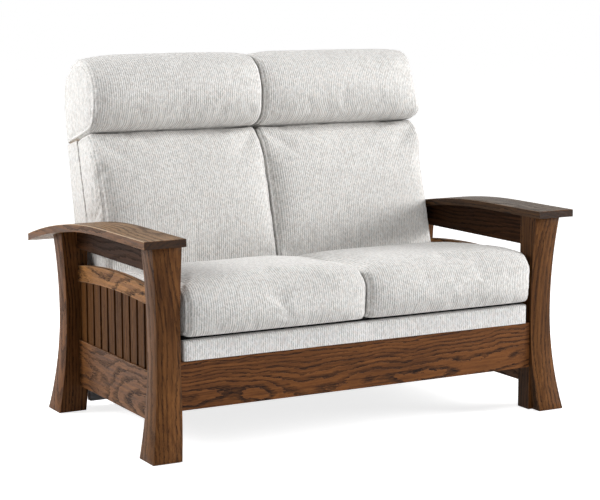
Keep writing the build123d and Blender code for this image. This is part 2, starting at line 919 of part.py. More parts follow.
def seat_section(full, tuck):
    """Underside, belly, front face, nose, crowned top and rear face."""
    drawn = seat_cushion_tuck * tuck
    nose = -seat_cushion_overhang - seat_cushion_nose * full + drawn
    tip = nose - seat_cushion_face_tip
    crown = seat_cushion_crown * full
    lift = soft_clearance + drawn
    edge = seat_cushion_thickness * 0.96 + crown * 0.6 - drawn
    crest = edge + seat_cushion_thickness * 0.04 + crown * 0.4
    rear_low = seat_rear_along(0) - drawn
    rear_high = seat_rear_along(edge) - drawn
    corner = 1 - 0.5 ** 0.5
    belly = (nose + seat_belly_round, lift)
    belly_middle = (nose + seat_belly_round * corner, lift + seat_belly_round * corner)
    face_low = (nose, lift + seat_belly_round)
    face_high = (tip, edge - seat_nose_round)
    nose_middle = (tip + seat_nose_round * corner, edge - seat_nose_round * corner)
    top_front = (tip + seat_nose_round, edge)
    top_middle = ((tip + seat_nose_round + rear_high) / 2, crest)
    points = (
        belly, belly_middle, face_low, face_high, nose_middle, top_front, top_middle,
        (rear_high, edge), (rear_low, lift),
    )
    b, bm, f0, f1, nm, t, tm, r1, r0 = [on_seat(*point) for point in points]
    return [
        ThreePointArc(b, bm, f0), Line(f0, f1), ThreePointArc(f1, nm, t),
        ThreePointArc(t, tm, r1), Line(r1, r0), Line(r0, b),
    ]


def back_section(full, tuck):
    """Flat behind the seat cushion, crowned above it, with a rounded top corner."""
    lean = radians(back_lean)
    drawn = back_cushion_tuck * tuck
    front = -back_cushion_thickness + drawn
    rear = -webbing_thickness - soft_clearance - drawn
    top = back_top_height - soft_clearance - drawn
    bottom = back_cushion_bottom + drawn
    shoulder = top - back_cushion_shoulder * cos(lean)
    swell = back_cushion_crown * (0.1 + 0.9 * full)
    foot = (back_line(bottom) + front / cos(lean), bottom)
    flat = (back_line(back_cushion_flat_top) + front / cos(lean), back_cushion_flat_top)
    high = on_back(shoulder, front - swell * 0.45)
    middle = on_back((back_cushion_flat_top + shoulder) / 2, front - swell)
    crease = on_back(top, front + back_cushion_shoulder_drop)
    round_middle = on_back(
        shoulder + (top - shoulder) * 0.6, front + back_cushion_shoulder_drop * 0.3 - swell * 0.3
    )
    rear_top = on_back(top, rear)
    rear_foot = (back_line(bottom) + rear / cos(lean), bottom)
    return [
        Line(foot, flat), ThreePointArc(flat, middle, high),
        ThreePointArc(high, round_middle, crease),
        Line(crease, rear_top), Line(rear_top, rear_foot), Line(rear_foot, foot),
    ]


def head_section(full, tuck):
    """The front arc starts at the crease; each next arc leaves the last one smoothly."""
    corner = on_back(back_top_height, 0)
    fall = tan(radians(back_lean))
    out, up, drawn = head_nose * full, head_crown * full, head_tuck * tuck
    lift = soft_clearance / cos(radians(back_lean)) + drawn

    def ahead(shares, forward, above):
        return (corner[0] - head_reach * shares[0] - forward, corner[1] + head_height * shares[1] + above)

    def behind(shares, rearward, above):
        return (corner[0] + head_rear_reach * shares[0] + rearward, corner[1] + head_height * shares[1] + above)

    forward = head_reach * head_front_bottom_share - drawn
    front_bottom = (corner[0] - forward, corner[1] + forward * fall + lift)
    rear_base = on_back(back_top_height, back_top_thickness + head_rear_overhang)
    rear_bottom = (rear_base[0] - drawn, rear_base[1] + lift + drawn * fall)
    front_middle = ahead(head_front_middle_shares, out - drawn, 0)
    front_top = ahead(head_front_top_shares, 0.7 * (out - drawn), 0.6 * up - 0.7 * drawn)
    front = ThreePointArc(front_bottom, front_middle, front_top)
    crest = TangentArc(front_top, ahead(head_crest_shares, 0, up - drawn), tangent=front % 1)
    rear_top = behind(head_rear_top_shares, -0.4 * drawn, 0.7 * up - 0.9 * drawn)
    rear = TangentArc(crest @ 1, rear_top, tangent=crest % 1)
    rear_middle = behind(head_rear_middle_shares, -drawn, 0)
    shoulder = TangentArc(rear_top, rear_middle, tangent=rear % 1)
    return [
        front, crest, rear, shoulder, Line(rear_middle, rear_bottom), Line(rear_bottom, front_bottom),
    ]


def make_cushions():
    inner = cushion_centre_gap / 2
    keep_pair("seat_cushion", lofted(seat_section, inner, body_half_width + seat_side_overhang))
    keep_pair("back_cushion", lofted(back_section, inner, body_half_width))
    keep_pair("head_cushion", lofted(head_section, inner, body_half_width))


def write_all():
    boxes = [shape.bounding_box() for shape in pieces.values()]
    front = min(box.min.Y for box in boxes)
    back = max(box.max.Y for box in boxes)
    for name, shape in pieces.items():
        export_step(Pos(0, -(front + back) / 2, 0) * shape, f"parts/{name}.step")


make_legs()
make_arms()
make_panels()
make_front_rail()
make_front_band()
make_seat_frame()
make_springs()
make_bolts()
make_back_frame()
make_webbing()
make_braces()
make_cushions()
write_all()
print(len(pieces), "nodes")
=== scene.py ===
import math

import bmesh
import bpy
import numpy as np
from mathutils import Matrix, Vector, noise


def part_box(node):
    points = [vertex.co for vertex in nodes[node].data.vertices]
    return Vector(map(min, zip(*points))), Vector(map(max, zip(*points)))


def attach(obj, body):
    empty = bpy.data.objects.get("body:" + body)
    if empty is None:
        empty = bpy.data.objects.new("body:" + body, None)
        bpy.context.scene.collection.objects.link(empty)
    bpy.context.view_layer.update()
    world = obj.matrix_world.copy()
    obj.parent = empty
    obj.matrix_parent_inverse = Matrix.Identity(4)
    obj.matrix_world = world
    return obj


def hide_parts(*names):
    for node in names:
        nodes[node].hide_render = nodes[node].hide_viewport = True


# A two-seat oak settle with slatted ends, a leaning covered back and six cushions. Metres, in the CAD's frame.
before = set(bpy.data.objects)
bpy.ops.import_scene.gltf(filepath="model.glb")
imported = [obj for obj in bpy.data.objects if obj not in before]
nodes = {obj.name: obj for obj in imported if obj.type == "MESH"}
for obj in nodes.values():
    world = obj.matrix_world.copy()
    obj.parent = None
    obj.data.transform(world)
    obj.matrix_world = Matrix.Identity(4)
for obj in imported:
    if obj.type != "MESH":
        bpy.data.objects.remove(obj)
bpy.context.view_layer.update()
mm = 0.001


def addNode(tree, kind, values=None, **settings):
    node = tree.nodes.new("ShaderNode" + kind)
    for key, value in settings.items():
        setattr(node, key, value)
    for key, value in (values or {}).items():
        if isinstance(value, bpy.types.NodeSocket):
            tree.links.new(value, node.inputs[key])
        else:
            node.inputs[key].default_value = value
    return node


def mathNode(tree, operation, a, b=0.0, c=0.0, clamp=False):
    return addNode(tree, "Math", {0: a, 1: b, 2: c}, operation=operation, use_clamp=clamp).outputs[0]


def mixColour(tree, factor, a, b, blend="MIX"):
    node = addNode(tree, "Mix", {"Factor": factor, 6: a, 7: b}, data_type="RGBA", blend_type=blend)
    return node.outputs[2]


def ramp(tree, factor, stops):
    node = addNode(tree, "ValToRGB", {0: factor})
    elements = node.color_ramp.elements
    while len(elements) < len(stops):
        elements.new(0.5)
    for element, (place, colour) in zip(elements, stops):
        element.position = place
        element.color = (colour, colour, colour, 1) if isinstance(colour, float) else (*colour, 1)
    return node.outputs[0]


def spread(tree, vector, scales):
    return addNode(tree, "VectorMath", {0: vector, 1: scales}, operation="MULTIPLY").outputs[0]


def noiseValue(tree, vector, scale, detail=2.0, roughness=0.5):
    node = addNode(
        tree, "TexNoise", {"Vector": vector, "Scale": scale, "Detail": detail, "Roughness": roughness}
    )
    return node.outputs["Fac"]


def newGroup(name, inputs, outputs):
    tree = bpy.data.node_groups.new(name, "ShaderNodeTree")
    for label, kind, value in inputs:
        socket = tree.interface.new_socket(label, in_out="INPUT", socket_type="NodeSocket" + kind)
        if value is not None:
            socket.default_value = value
    for label, kind in outputs:
        tree.interface.new_socket(label, in_out="OUTPUT", socket_type="NodeSocket" + kind)
    start, end = tree.nodes.new("NodeGroupInput"), tree.nodes.new("NodeGroupOutput")
    return tree, start.outputs, end.inputs


# Oak figure: growth rings round a pith line along Z, which may bow, with open pores in dashes along each
# ring's first growth and slow changes of tone. The triples stretch a noise along the grain.
oakFigure = {
    "slowWave": 7.0, "quickWave": 38.0, "quickShare": 0.16, "ragged": (230, 230, 44), "raggedRings": 0.85,
    "yearChange": 0.7, "finePerRing": 3.0, "fineLine": 0.22, "fibre": (620, 620, 26), "loosePores": 0.16,
    "streak": (120, 120, 3.4), "streakContrast": 2.4, "tone": (9, 9, 2.4), "toneContrast": 0.9, "endSoak": 0.8,
    "highlightShare": 0.55, "highlightColour": (0.75, 0.62, 0.46, 1), "satin": 0.34, "poreDull": 0.25,
}


def makeOakGroup():
    f = oakFigure
    tree, get, give = newGroup(
        "oakFigure",
        [
            ("Vector", "Vector", None), ("Dark", "Color", (0.012, 0.005, 0.002, 1)),
            ("Middle", "Color", (0.062, 0.022, 0.005, 1)), ("Light", "Color", (0.15, 0.056, 0.013, 1)),
            ("Ring Width", "Float", 0.004), ("Waviness", "Float", 0.03), ("Bow", "Float", 0.0),
            ("Pores", "Float", 0.6), ("End Grain", "Float", 0.0), ("Edge Highlight", "Float", 0.0),
        ],
        [("Color", "Color"), ("Roughness", "Float"), ("Height", "Float")],
    )
    place = get["Vector"]
    waves = []
    for stretch, scale, detail in ((0.6, f["slowWave"], 1.0), (0.55, f["quickWave"], 2.0)):
        along = spread(tree, place, (1, 1, stretch))
        wave = addNode(tree, "TexNoise", {"Vector": along, "Scale": scale, "Detail": detail}).outputs["Color"]
        wave = addNode(tree, "VectorMath", {0: wave, 1: (0.5, 0.5, 0.5)}, operation="SUBTRACT")
        waves.append(wave.outputs[0])
    slow, quick = waves
    quick = addNode(tree, "VectorMath", {0: quick, "Scale": f["quickShare"]}, operation="SCALE").outputs[0]
    sway = addNode(tree, "VectorMath", {0: slow, 1: quick}, operation="ADD").outputs[0]
    bent = addNode(tree, "VectorMath", {0: sway, "Scale": get["Waviness"]}, operation="SCALE")
    moved = addNode(tree, "VectorMath", {0: place, 1: bent.outputs[0]}, operation="ADD").outputs[0]
    x, y, z = addNode(tree, "SeparateXYZ", {0: moved}).outputs
    bowed = mathNode(tree, "MULTIPLY", mathNode(tree, "MULTIPLY", z, z), get["Bow"])
    flat = addNode(tree, "CombineXYZ", {0: mathNode(tree, "SUBTRACT", x, bowed), 1: y}).outputs[0]
    radius = addNode(tree, "VectorMath", {0: flat}, operation="LENGTH").outputs["Value"]
    ragged = noiseValue(tree, spread(tree, place, f["ragged"]), 1.0, 3, 0.72)
    rings = mathNode(tree, "DIVIDE", radius, get["Ring Width"])
    rings = mathNode(tree, "MULTIPLY_ADD", ragged, f["raggedRings"], rings)
    share = mathNode(tree, "FRACT", rings)
    year = addNode(tree, "TexWhiteNoise", {1: mathNode(tree, "FLOOR", rings)}, noise_dimensions="1D")
    fineShare = mathNode(tree, "FRACT", mathNode(tree, "MULTIPLY", rings, f["finePerRing"]))
    early = ramp(tree, share, [(0.0, 0.0), (0.05, 1.0), (0.26, 0.9), (0.5, 0.0), (1.0, 0.0)])
    strength = mathNode(tree, "MULTIPLY_ADD", year.outputs["Value"], f["yearChange"], 0.6)
    early = mathNode(tree, "MULTIPLY", early, strength)
    fibre = noiseValue(tree, spread(tree, place, f["fibre"]), 1.0, 2, 0.6)
    streak = noiseValue(tree, spread(tree, place, f["streak"]), 1.0, 4, 0.65)
    tone = noiseValue(tree, spread(tree, place, f["tone"]), 1.0, 2)
    pore = ramp(tree, fibre, [(0.0, 1.0), (0.40, 1.0), (0.56, 0.0), (1.0, 0.0)])
    cover = mathNode(tree, "MULTIPLY", early, mathNode(tree, "MULTIPLY_ADD", pore, 0.5, 0.5))
    fineLine = ramp(tree, fineShare, [(0.0, 0.0), (0.1, 1.0), (0.45, 0.3), (0.7, 0.0), (1.0, 0.0)])
    cover = mathNode(tree, "MULTIPLY_ADD", fineLine, f["fineLine"], cover)
    cover = mathNode(tree, "MULTIPLY_ADD", pore, f["loosePores"], cover)
    cover = mathNode(tree, "MULTIPLY", cover, get["Pores"], clamp=True)
    light = mathNode(tree, "MULTIPLY_ADD", mathNode(tree, "SUBTRACT", streak, 0.5), f["streakContrast"], 0.5)
    slowTone = mathNode(tree, "SUBTRACT", tone, 0.5)
    light = mathNode(tree, "MULTIPLY_ADD", slowTone, f["toneContrast"], light, clamp=True)
    wood = mixColour(tree, light, get["Middle"], get["Light"])
    stained = mixColour(tree, cover, wood, get["Dark"])
    soaked = mathNode(tree, "MULTIPLY", get["End Grain"], f["endSoak"])
    soaked = mixColour(tree, soaked, stained, get["Dark"])
    # painted highlight: the eased edges are mixed towards a pale warm colour in place of the gloss on their
    # rounding
    paintedHighlight = mixColour(tree, f["highlightShare"], get["Light"], f["highlightColour"])
    tree.links.new(mixColour(tree, get["Edge Highlight"], soaked, paintedHighlight), give["Color"])
    satin = mathNode(tree, "MULTIPLY_ADD", streak, 0.14, f["satin"])
    tree.links.new(mathNode(tree, "MULTIPLY_ADD", cover, f["poreDull"], satin), give["Roughness"])
    raised = mathNode(tree, "MULTIPLY", streak, 0.35)
    tree.links.new(mathNode(tree, "MULTIPLY_ADD", cover, -1.0, raised), give["Height"])
    return tree


# Woven cloth: ribs with short ticks of lighter and darker yarn; Side turns the ribs for end panels.
# "level" is the share of pale yarn, and the next five say how much each thing changes it.
weave = {
    "level": 0.74, "rib": 0.42, "tick": 0.40, "bead": 0.12, "fine": 0.46, "soil": 0.10, "drift": 0.5,
    "hues": [(0.3, (0.975, 0.99, 1.0)), (0.5, (1.0, 0.996, 0.992)), (0.7, (1.0, 0.965, 0.945))],
}


def makeWeaveGroup():
    tree, get, give = newGroup(
        "wovenRib",
        [
            ("Vector", "Vector", None), ("Side", "Float", 0.0), ("Yarn", "Color", (0.8, 0.79, 0.77, 1)),
            ("Shade Yarn", "Color", (0.3, 0.29, 0.27, 1)), ("Rib Pitch", "Float", 0.007),
            ("Contrast", "Float", 1.0),
        ],
        [("Color", "Color"), ("Height", "Float")],
    )
    place = get["Vector"]
    x, y, z = addNode(tree, "SeparateXYZ", {0: place}).outputs
    front = mathNode(tree, "SUBTRACT", 1.0, get["Side"])
    across = mathNode(tree, "ADD", mathNode(tree, "MULTIPLY", x, front), mathNode(tree, "MULTIPLY", y, get["Side"]))
    down = mathNode(tree, "MULTIPLY_ADD", y, front, z)
    drift = noiseValue(tree, place, 30.0, 2)
    column = mathNode(tree, "DIVIDE", across, get["Rib Pitch"])
    column = mathNode(tree, "MULTIPLY_ADD", drift, weave["drift"], column)
    rib = mathNode(tree, "SINE", mathNode(tree, "MULTIPLY", column, 2 * math.pi))
    rib = mathNode(tree, "MULTIPLY_ADD", rib, 0.5, 0.5)
    index = mathNode(tree, "FLOOR", mathNode(tree, "MULTIPLY", column, 2.0))
    row = mathNode(tree, "DIVIDE", down, mathNode(tree, "MULTIPLY", get["Rib Pitch"], 1.15))
    row = mathNode(tree, "MULTIPLY_ADD", index, 0.37, row)
    cell = addNode(tree, "CombineXYZ", {0: index, 1: mathNode(tree, "FLOOR", row)}).outputs[0]
    ticks = addNode(tree, "TexWhiteNoise", {"Vector": cell}, noise_dimensions="2D")
    tick = ticks.outputs["Value"]
    bead = mathNode(tree, "SINE", mathNode(tree, "MULTIPLY", mathNode(tree, "FRACT", row), math.pi))
    fine = noiseValue(tree, spread(tree, place, (420, 420, 420)), 1.0, 2, 0.6)
    soil = noiseValue(tree, place, 8.0, 3)
    shade = weave["level"]
    parts = {"rib": (rib, 0.5), "tick": (tick, 0.5), "bead": (bead, 0.6), "fine": (fine, 0.5), "soil": (soil, 0.5)}
    for label, (value, middle) in parts.items():
        shade = mathNode(tree, "MULTIPLY_ADD", mathNode(tree, "SUBTRACT", value, middle), weave[label], shade)
    shade = mathNode(tree, "SUBTRACT", shade, weave["level"])
    shade = mathNode(tree, "MULTIPLY_ADD", shade, get["Contrast"], weave["level"], clamp=True)
    hue = ramp(tree, noiseValue(tree, place, 110.0, 2), weave["hues"])
    yarns = mixColour(tree, shade, get["Shade Yarn"], get["Yarn"])
    tree.links.new(mixColour(tree, 1.0, yarns, hue, "MULTIPLY"), give["Color"])
    height = mathNode(tree, "MULTIPLY", rib, mathNode(tree, "MULTIPLY_ADD", bead, 0.5, 0.5))
    tree.links.new(mathNode(tree, "MULTIPLY_ADD", fine, 0.4, height), give["Height"])
    return tree


oakGroup, weaveGroup = makeOakGroup(), makeWeaveGroup()


def newMaterial(name, **constants):
    material = bpy.data.materials.new(name)
    material.use_nodes = True
    tree = material.node_tree
    shader = tree.nodes["Principled BSDF"]
    for label, value in constants.items():
        shader.inputs[label.replace("_", " ")].default_value = value
    return material, tree, shader


def bump(tree, shader, height, distance, strength=1.0):
    node = addNode(tree, "Bump", {"Height": height, "Distance": distance, "Strength": strength})
    tree.links.new(node.outputs[0], shader.inputs["Normal"])


oakTones = {
    "brown": ((0.007, 0.0028, 0.0013), (0.066, 0.024, 0.0070), (0.215, 0.088, 0.0270)),
    "red": ((0.008, 0.0028, 0.0013), (0.080, 0.027, 0.0075), (0.240, 0.088, 0.0240)),
    "dark": ((0.003, 0.0015, 0.0010), (0.014, 0.005, 0.0020), (0.056, 0.022, 0.0078)),
    "slat": ((0.006, 0.0028, 0.0013), (0.044, 0.017, 0.0050), (0.135, 0.056, 0.0170)),
    "warm": ((0.018, 0.007, 0.0030), (0.140, 0.056, 0.0150), (0.360, 0.165, 0.0500)),
}
turnFor = {"z": (0, 0, 0), "y": (math.pi / 2, 0, 0), "x": (0, math.pi / 2, 0)}


def setInputs(node, values):
    for label, value in values.items():
        node.inputs[label].default_value = value


def oakFinish(name, board, along, pith, tilt, bow, edgeHighlight, paintedFaceLight):
    material, tree, shader = newMaterial(name, Specular_IOR_Level=board["gloss"])
    coords = addNode(tree, "TexCoord").outputs
    place = coords["Object"]
    turned = addNode(tree, "Mapping", {"Vector": place, "Rotation": turnFor[along]}).outputs[0]
    moved = addNode(tree, "Mapping", {"Vector": turned, "Location": pith}).outputs[0]
    leaned = addNode(tree, "Mapping", {"Vector": moved, "Rotation": (*tilt, 0)}).outputs[0]
    group = addNode(tree, "Group", node_tree=oakGroup)
    dark, middle, light = [(*c, 1) for c in oakTones[board["tone"]]]
    setInputs(group, {
        "Dark": dark, "Middle": middle, "Light": light, "Ring Width": board["ringWidth"],
        "Waviness": board["waviness"], "Bow": bow, "Pores": board["pores"],
    })
    tree.links.new(leaned, group.inputs["Vector"])
    # the ends of a board drink more stain
    normal = addNode(tree, "VectorMath", {0: coords["Normal"]}, operation="ABSOLUTE").outputs[0]
    facing = dict(zip("xyz", addNode(tree, "SeparateXYZ", {0: normal}).outputs))
    tree.links.new(ramp(tree, facing[along], [(0.75, 0.0), (0.95, 1.0)]), group.inputs["End Grain"])
    # a painted highlight along the eased edges, in place of the gloss on their rounding
    one, other = [facing[axis] for axis in "xyz" if axis != along]
    edge = ramp(tree, mathNode(tree, "MULTIPLY", one, other), [(0.16, 0.0), (0.34, 1.0)])
    tree.links.new(mathNode(tree, "MULTIPLY", edge, edgeHighlight), group.inputs["Edge Highlight"])
    colour = group.outputs["Color"]
    # painted light and shade: the faces across an axis are multiplied by a tint, which lightens and greys a lit top
    # like a sheen and darkens a flank in shade
    for axis, paintedTint in paintedFaceLight.items():
        share = ramp(tree, facing[axis], [(0.8, 0.0), (0.93, 1.0)])
        colour = mixColour(tree, share, colour, mixColour(tree, 1.0, colour, (*paintedTint, 1), "MULTIPLY"))
    tree.links.new(colour, shader.inputs["Base Color"])
    tree.links.new(group.outputs["Roughness"], shader.inputs["Roughness"])
    bump(tree, shader, group.outputs["Height"], 0.3 * mm)
    return material


def clothFinish(name, yarn, shadeYarn, side=0.0, pitch=7.0 * mm, contrast=1.0, sheen=0.15):
    material, tree, shader = newMaterial(name, Roughness=0.95, Sheen_Weight=sheen, Specular_IOR_Level=0.12)
    place = addNode(tree, "TexCoord").outputs["Object"]
    group = addNode(tree, "Group", node_tree=weaveGroup)
    setInputs(group, {
        "Side": side, "Yarn": (*yarn, 1), "Shade Yarn": (*shadeYarn, 1), "Rib Pitch": pitch, "Contrast": contrast,
    })
    tree.links.new(place, group.inputs["Vector"])
    tree.links.new(group.outputs["Color"], shader.inputs["Base Color"])
    bump(tree, shader, group.outputs["Height"], 0.6 * mm)
    return material


def plainFinish(name, colour, worn, roughness, metallic=0.0, scale=60.0, grain=0.1 * mm):
    material, tree, shader = newMaterial(name, Metallic=metallic)
    place = addNode(tree, "TexCoord").outputs["Object"]
    speck = noiseValue(tree, place, scale, 4, 0.6)
    tree.links.new(mixColour(tree, speck, (*colour, 1), (*worn, 1)), shader.inputs["Base Color"])
    tree.links.new(mathNode(tree, "MULTIPLY_ADD", speck, 0.2, roughness - 0.1), shader.inputs["Roughness"])
    bump(tree, shader, speck, grain)
    return material


seatCloth = {"yarn": (0.84, 0.83, 0.81), "shadeYarn": (0.26, 0.25, 0.235)}
clothFront = clothFinish("greyRibCloth", **seatCloth)
clothSide = clothFinish("greyRibClothSide", side=1.0, **seatCloth)
# painted light: the band gets a copy of the seat cloth with paler yarns, so that it reads brighter under the
# cushions' overhang
bandCloth = clothFinish("bandRibClothPaintedLight", (0.95, 0.945, 0.935), (0.36, 0.35, 0.335))
liningCloth = clothFinish("blackLining", (0.030, 0.030, 0.032), (0.012, 0.012, 0.013), pitch=1.6 * mm, sheen=0.05)
frameWood = plainFinish("bareMaple", (0.42, 0.27, 0.14), (0.55, 0.38, 0.21), 0.6)
zincSteel = plainFinish("zincSteel", (0.50, 0.50, 0.49), (0.62, 0.61, 0.58), 0.38, 1.0, 180)
strapCloth = clothFinish("brownWebbing", (0.16, 0.13, 0.10), (0.05, 0.045, 0.04), pitch=2.2 * mm, sheen=0.05)
greyLining = clothFinish("blueGreyLining", (0.42, 0.43, 0.46), (0.20, 0.21, 0.23), pitch=2.4 * mm, sheen=0.05)
glidePlastic = plainFinish("glidePlastic", (0.020, 0.018, 0.016), (0.035, 0.030, 0.026), 0.5)

# for each kind of board: grain direction, where its middle lies from the pith, lean of the pith, bow of
# the grain, tone, ring width, waviness, gloss, pores, the strength of a painted highlight along its edges,
# and a tint of painted light or shade for the faces across an axis; an ending of _left or _right holds
# for that board alone
boards = {
    "front_leg": {
        "along": "z", "wide": (-0.075, 0.034), "tilt": (0.010, 0.050), "bow": -0.30, "tone": "brown",
        "ringWidth": 14.0 * mm, "waviness": 0.032, "gloss": 0.08, "pores": 0.62, "edgeHighlight": 0.10,
        "faces_left": {"x": (0.74, 0.71, 0.54)}, "faces_right": {"x": (0.50, 0.50, 0.50)},
    },
    "rear_leg": {
        "along": "z", "wide": (-0.060, 0.034), "tilt": (0.010, 0.030), "bow": -0.20, "tone": "brown",
        "ringWidth": 11.0 * mm, "waviness": 0.028, "gloss": 0.08, "pores": 0.75, "edgeHighlight": 0.10,
        "faces_left": {"x": (0.88, 0.82, 0.72)},
    },
    "arm": {
        "along": "y", "wide": (0.075, 0.050), "tilt": (0.010, 0.030), "bow": 0.10, "tone": "brown",
        "ringWidth": 13.0 * mm, "waviness": 0.040, "gloss": 0.17, "pores": 0.70, "edgeHighlight": 1.0, "edgeHighlight_right": 0.15,
        "faces_left": {"x": (0.82, 0.74, 0.36), "z": (1.55, 2.15, 3.10)},
        "faces_right": {"x": (0.46, 0.50, 0.50), "z": (0.52, 0.70, 0.70)},
    },
    "upper_side_rail": {
        "along": "y", "wide": (0.055, 0.050), "tilt": (0.008, 0.015), "bow": 0.0, "tone": "dark",
        "ringWidth": 10.0 * mm, "waviness": 0.025, "gloss": 0.03, "pores": 0.60, "edgeHighlight": 0.10,
    },
    "arched_side_rail": {
        "along": "y", "wide": (0.085, 0.024), "tilt": (0.010, 0.050), "bow": 0.05, "tone": "warm",
        "ringWidth": 15.0 * mm, "waviness": 0.060, "gloss": 0.09, "pores": 0.85, "edgeHighlight": 0.40,
    },
    "lower_side_rail": {
        "along": "y", "wide": (0.090, 0.020), "tilt": (0.014, 0.060), "bow": 0.02, "tone": "brown",
        "ringWidth": 15.0 * mm, "waviness": 0.080, "gloss": 0.12, "pores": 0.80, "edgeHighlight": 0.60,
    },
    "side_slats": {
        "along": "z", "wide": (0.040, 0.020), "tilt": (0.010, 0.010), "bow": 0.0, "tone": "slat",
        "ringWidth": 9.0 * mm, "waviness": 0.020, "gloss": 0.03, "pores": 0.60, "edgeHighlight": 0.10,
    },
    "front_rail": {
        "along": "x", "wide": (0.052, 0.066), "tilt": (0.004, 0.016), "bow": 0.06, "tone": "red",
        "ringWidth": 9.5 * mm, "waviness": 0.050, "gloss": 0.11, "pores": 0.85, "edgeHighlight": 0.20,
    },
}


def dressBoards():
    for kind, board in boards.items():
        along, (wide, deep), tilt = board["along"], board["wide"], board["tilt"]
        for ending, sign in (("_left", -1), ("_right", 1), ("", 1)):
            if kind + ending not in nodes:
                continue
            low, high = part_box(kind + ending)
            x, y, z = (low + high) / 2
            if along == "z":
                pith, side = (-x - wide * sign, -y + deep, -z), -sign
            elif along == "y":
                pith, side = (-x + wide * sign, z - deep, -y), sign
            else:
                pith, side = (-z + wide, -y + deep, x), 1
            material = oakFinish(
                kind + ending + "Oak", board, along, pith, (tilt[0], tilt[1] * side), board["bow"] * side,
                board.get("edgeHighlight" + ending, board["edgeHighlight"]), board.get("faces" + ending, {}),
            )
            giveMaterial(nodes[kind + ending], material)


def giveMaterial(piece, *materials):
    piece.data.materials.clear()
    for material in materials:
        piece.data.materials.append(material)


# the parts in one plain finish; the covered ones get pieces of their own below
plainParts = [
    (glidePlastic, ["foot_glides"]),
    (zincSteel, [
        "front_rail_screws", "seat_springs", "spring_clips", "end_panel_bolts", "end_panel_washers",
        "back_brace_bolts",
    ]),
    (frameWood, [
        "arm_dowels", "seat_front_board", "seat_rear_board", "seat_centre_board", "seat_side_board_left",
        "seat_side_board_right", "corner_blocks", "side_cleat_left", "side_cleat_right", "back_side_board_left",
        "back_side_board_right", "back_lower_rail", "back_middle_rail", "back_top_rail", "back_centre_post",
        "back_brace_left", "back_brace_right",
    ]),
]


def dressPlainParts():
    for material, names in plainParts:
        for name in names:
            giveMaterial(nodes[name], material)


# the seat slopes back and the back leans; both meet the frame as its CAD boards do
slopes = {
    "rake": math.radians(5), "lean": math.radians(15.8), "seatFront": -0.4225, "seatHeight": 0.349,
    "backFoot": 0.1465, "backFootHeight": 0.052, "backTop": 0.848, "backThickness": 0.079,
}


def backLine(height):
    return slopes["backFoot"] + (height - slopes["backFootHeight"]) * math.tan(slopes["lean"])


def onBack(height, square):
    return (backLine(height) + square * math.cos(slopes["lean"]), height - square * math.sin(slopes["lean"]))


def onSeat(along, up):
    rake = slopes["rake"]
    return (
        slopes["seatFront"] + along * math.cos(rake) + up * math.sin(rake),
        slopes["seatHeight"] - along * math.sin(rake) + up * math.cos(rake),
    )


def arcPoints(a, b, c, count):
    # an arc from a through b to c, without its last point
    (ax, ay), (bx, by), (cx, cy) = a, b, c
    d = 2 * (ax * (by - cy) + bx * (cy - ay) + cx * (ay - by))
    if abs(d) < 1e-9:
        return linePoints(a, c, count)
    ux = ((ax**2 + ay**2) * (by - cy) + (bx**2 + by**2) * (cy - ay) + (cx**2 + cy**2) * (ay - by)) / d
    uy = ((ax**2 + ay**2) * (cx - bx) + (bx**2 + by**2) * (ax - cx) + (cx**2 + cy**2) * (bx - ax)) / d
    start, middle, end = [math.atan2(y - uy, x - ux) for x, y in (a, b, c)]
    turn = (end - start) % (2 * math.pi)
    if (middle - start) % (2 * math.pi) > turn:
        turn -= 2 * math.pi
    radius = math.hypot(ax - ux, ay - uy)
    angles = [start + turn * k / count for k in range(count)]
    return [(ux + radius * math.cos(t), uy + radius * math.sin(t)) for t in angles]


def linePoints(a, c, count):
    return [(a[0] + (c[0] - a[0]) * k / count, a[1] + (c[1] - a[1]) * k / count) for k in range(count)]


def splinePoints(points, count):
    # a smooth line through the points, evenly divided, without its last point
    points = np.array(points)
    steps = np.concatenate([[0], np.cumsum(np.linalg.norm(np.diff(points, axis=0), axis=1))])
    slope = np.gradient(points, steps, axis=0)
    fine = np.linspace(0, steps[-1], 40 * len(points))
    k = np.clip(np.searchsorted(steps, fine) - 1, 0, len(points) - 2)
    width = (steps[k + 1] - steps[k])[:, None]
    t = ((fine - steps[k])[:, None]) / width
    curve = (
        (2 * t**3 - 3 * t**2 + 1) * points[k] + (t**3 - 2 * t**2 + t) * width * slope[k]
        + (3 * t**2 - 2 * t**3) * points[k + 1] + (t**3 - t**2) * width * slope[k + 1]
    )
    length = np.concatenate([[0], np.cumsum(np.linalg.norm(np.diff(curve, axis=0), axis=1))])
    even = np.linspace(0, length[-1], count + 1)[:-1]
    return [(float(np.interp(e, length, curve[:, 0])), float(np.interp(e, length, curve[:, 1]))) for e in even]


# metres; "full" runs from 0 at a seam to 1 in mid cushion, and "tuck" from 1 at a seam to 0 beside it
seatForm = {
    "thick": 0.1517, "crown": 0.015, "crest": 0.0063, "front": -0.021, "nose": 0.013, "tip": 0.009,
    "noseRound": 0.052, "bellyRound": 0.022, "faceSwell": 0.004, "rearGap": 0.147, "rearRound": 0.012,
    "rearCut": 0.0035, "footRound": 0.008, "footCut": 0.0023, "clear": 0.0006, "tuck": 0.012,
}


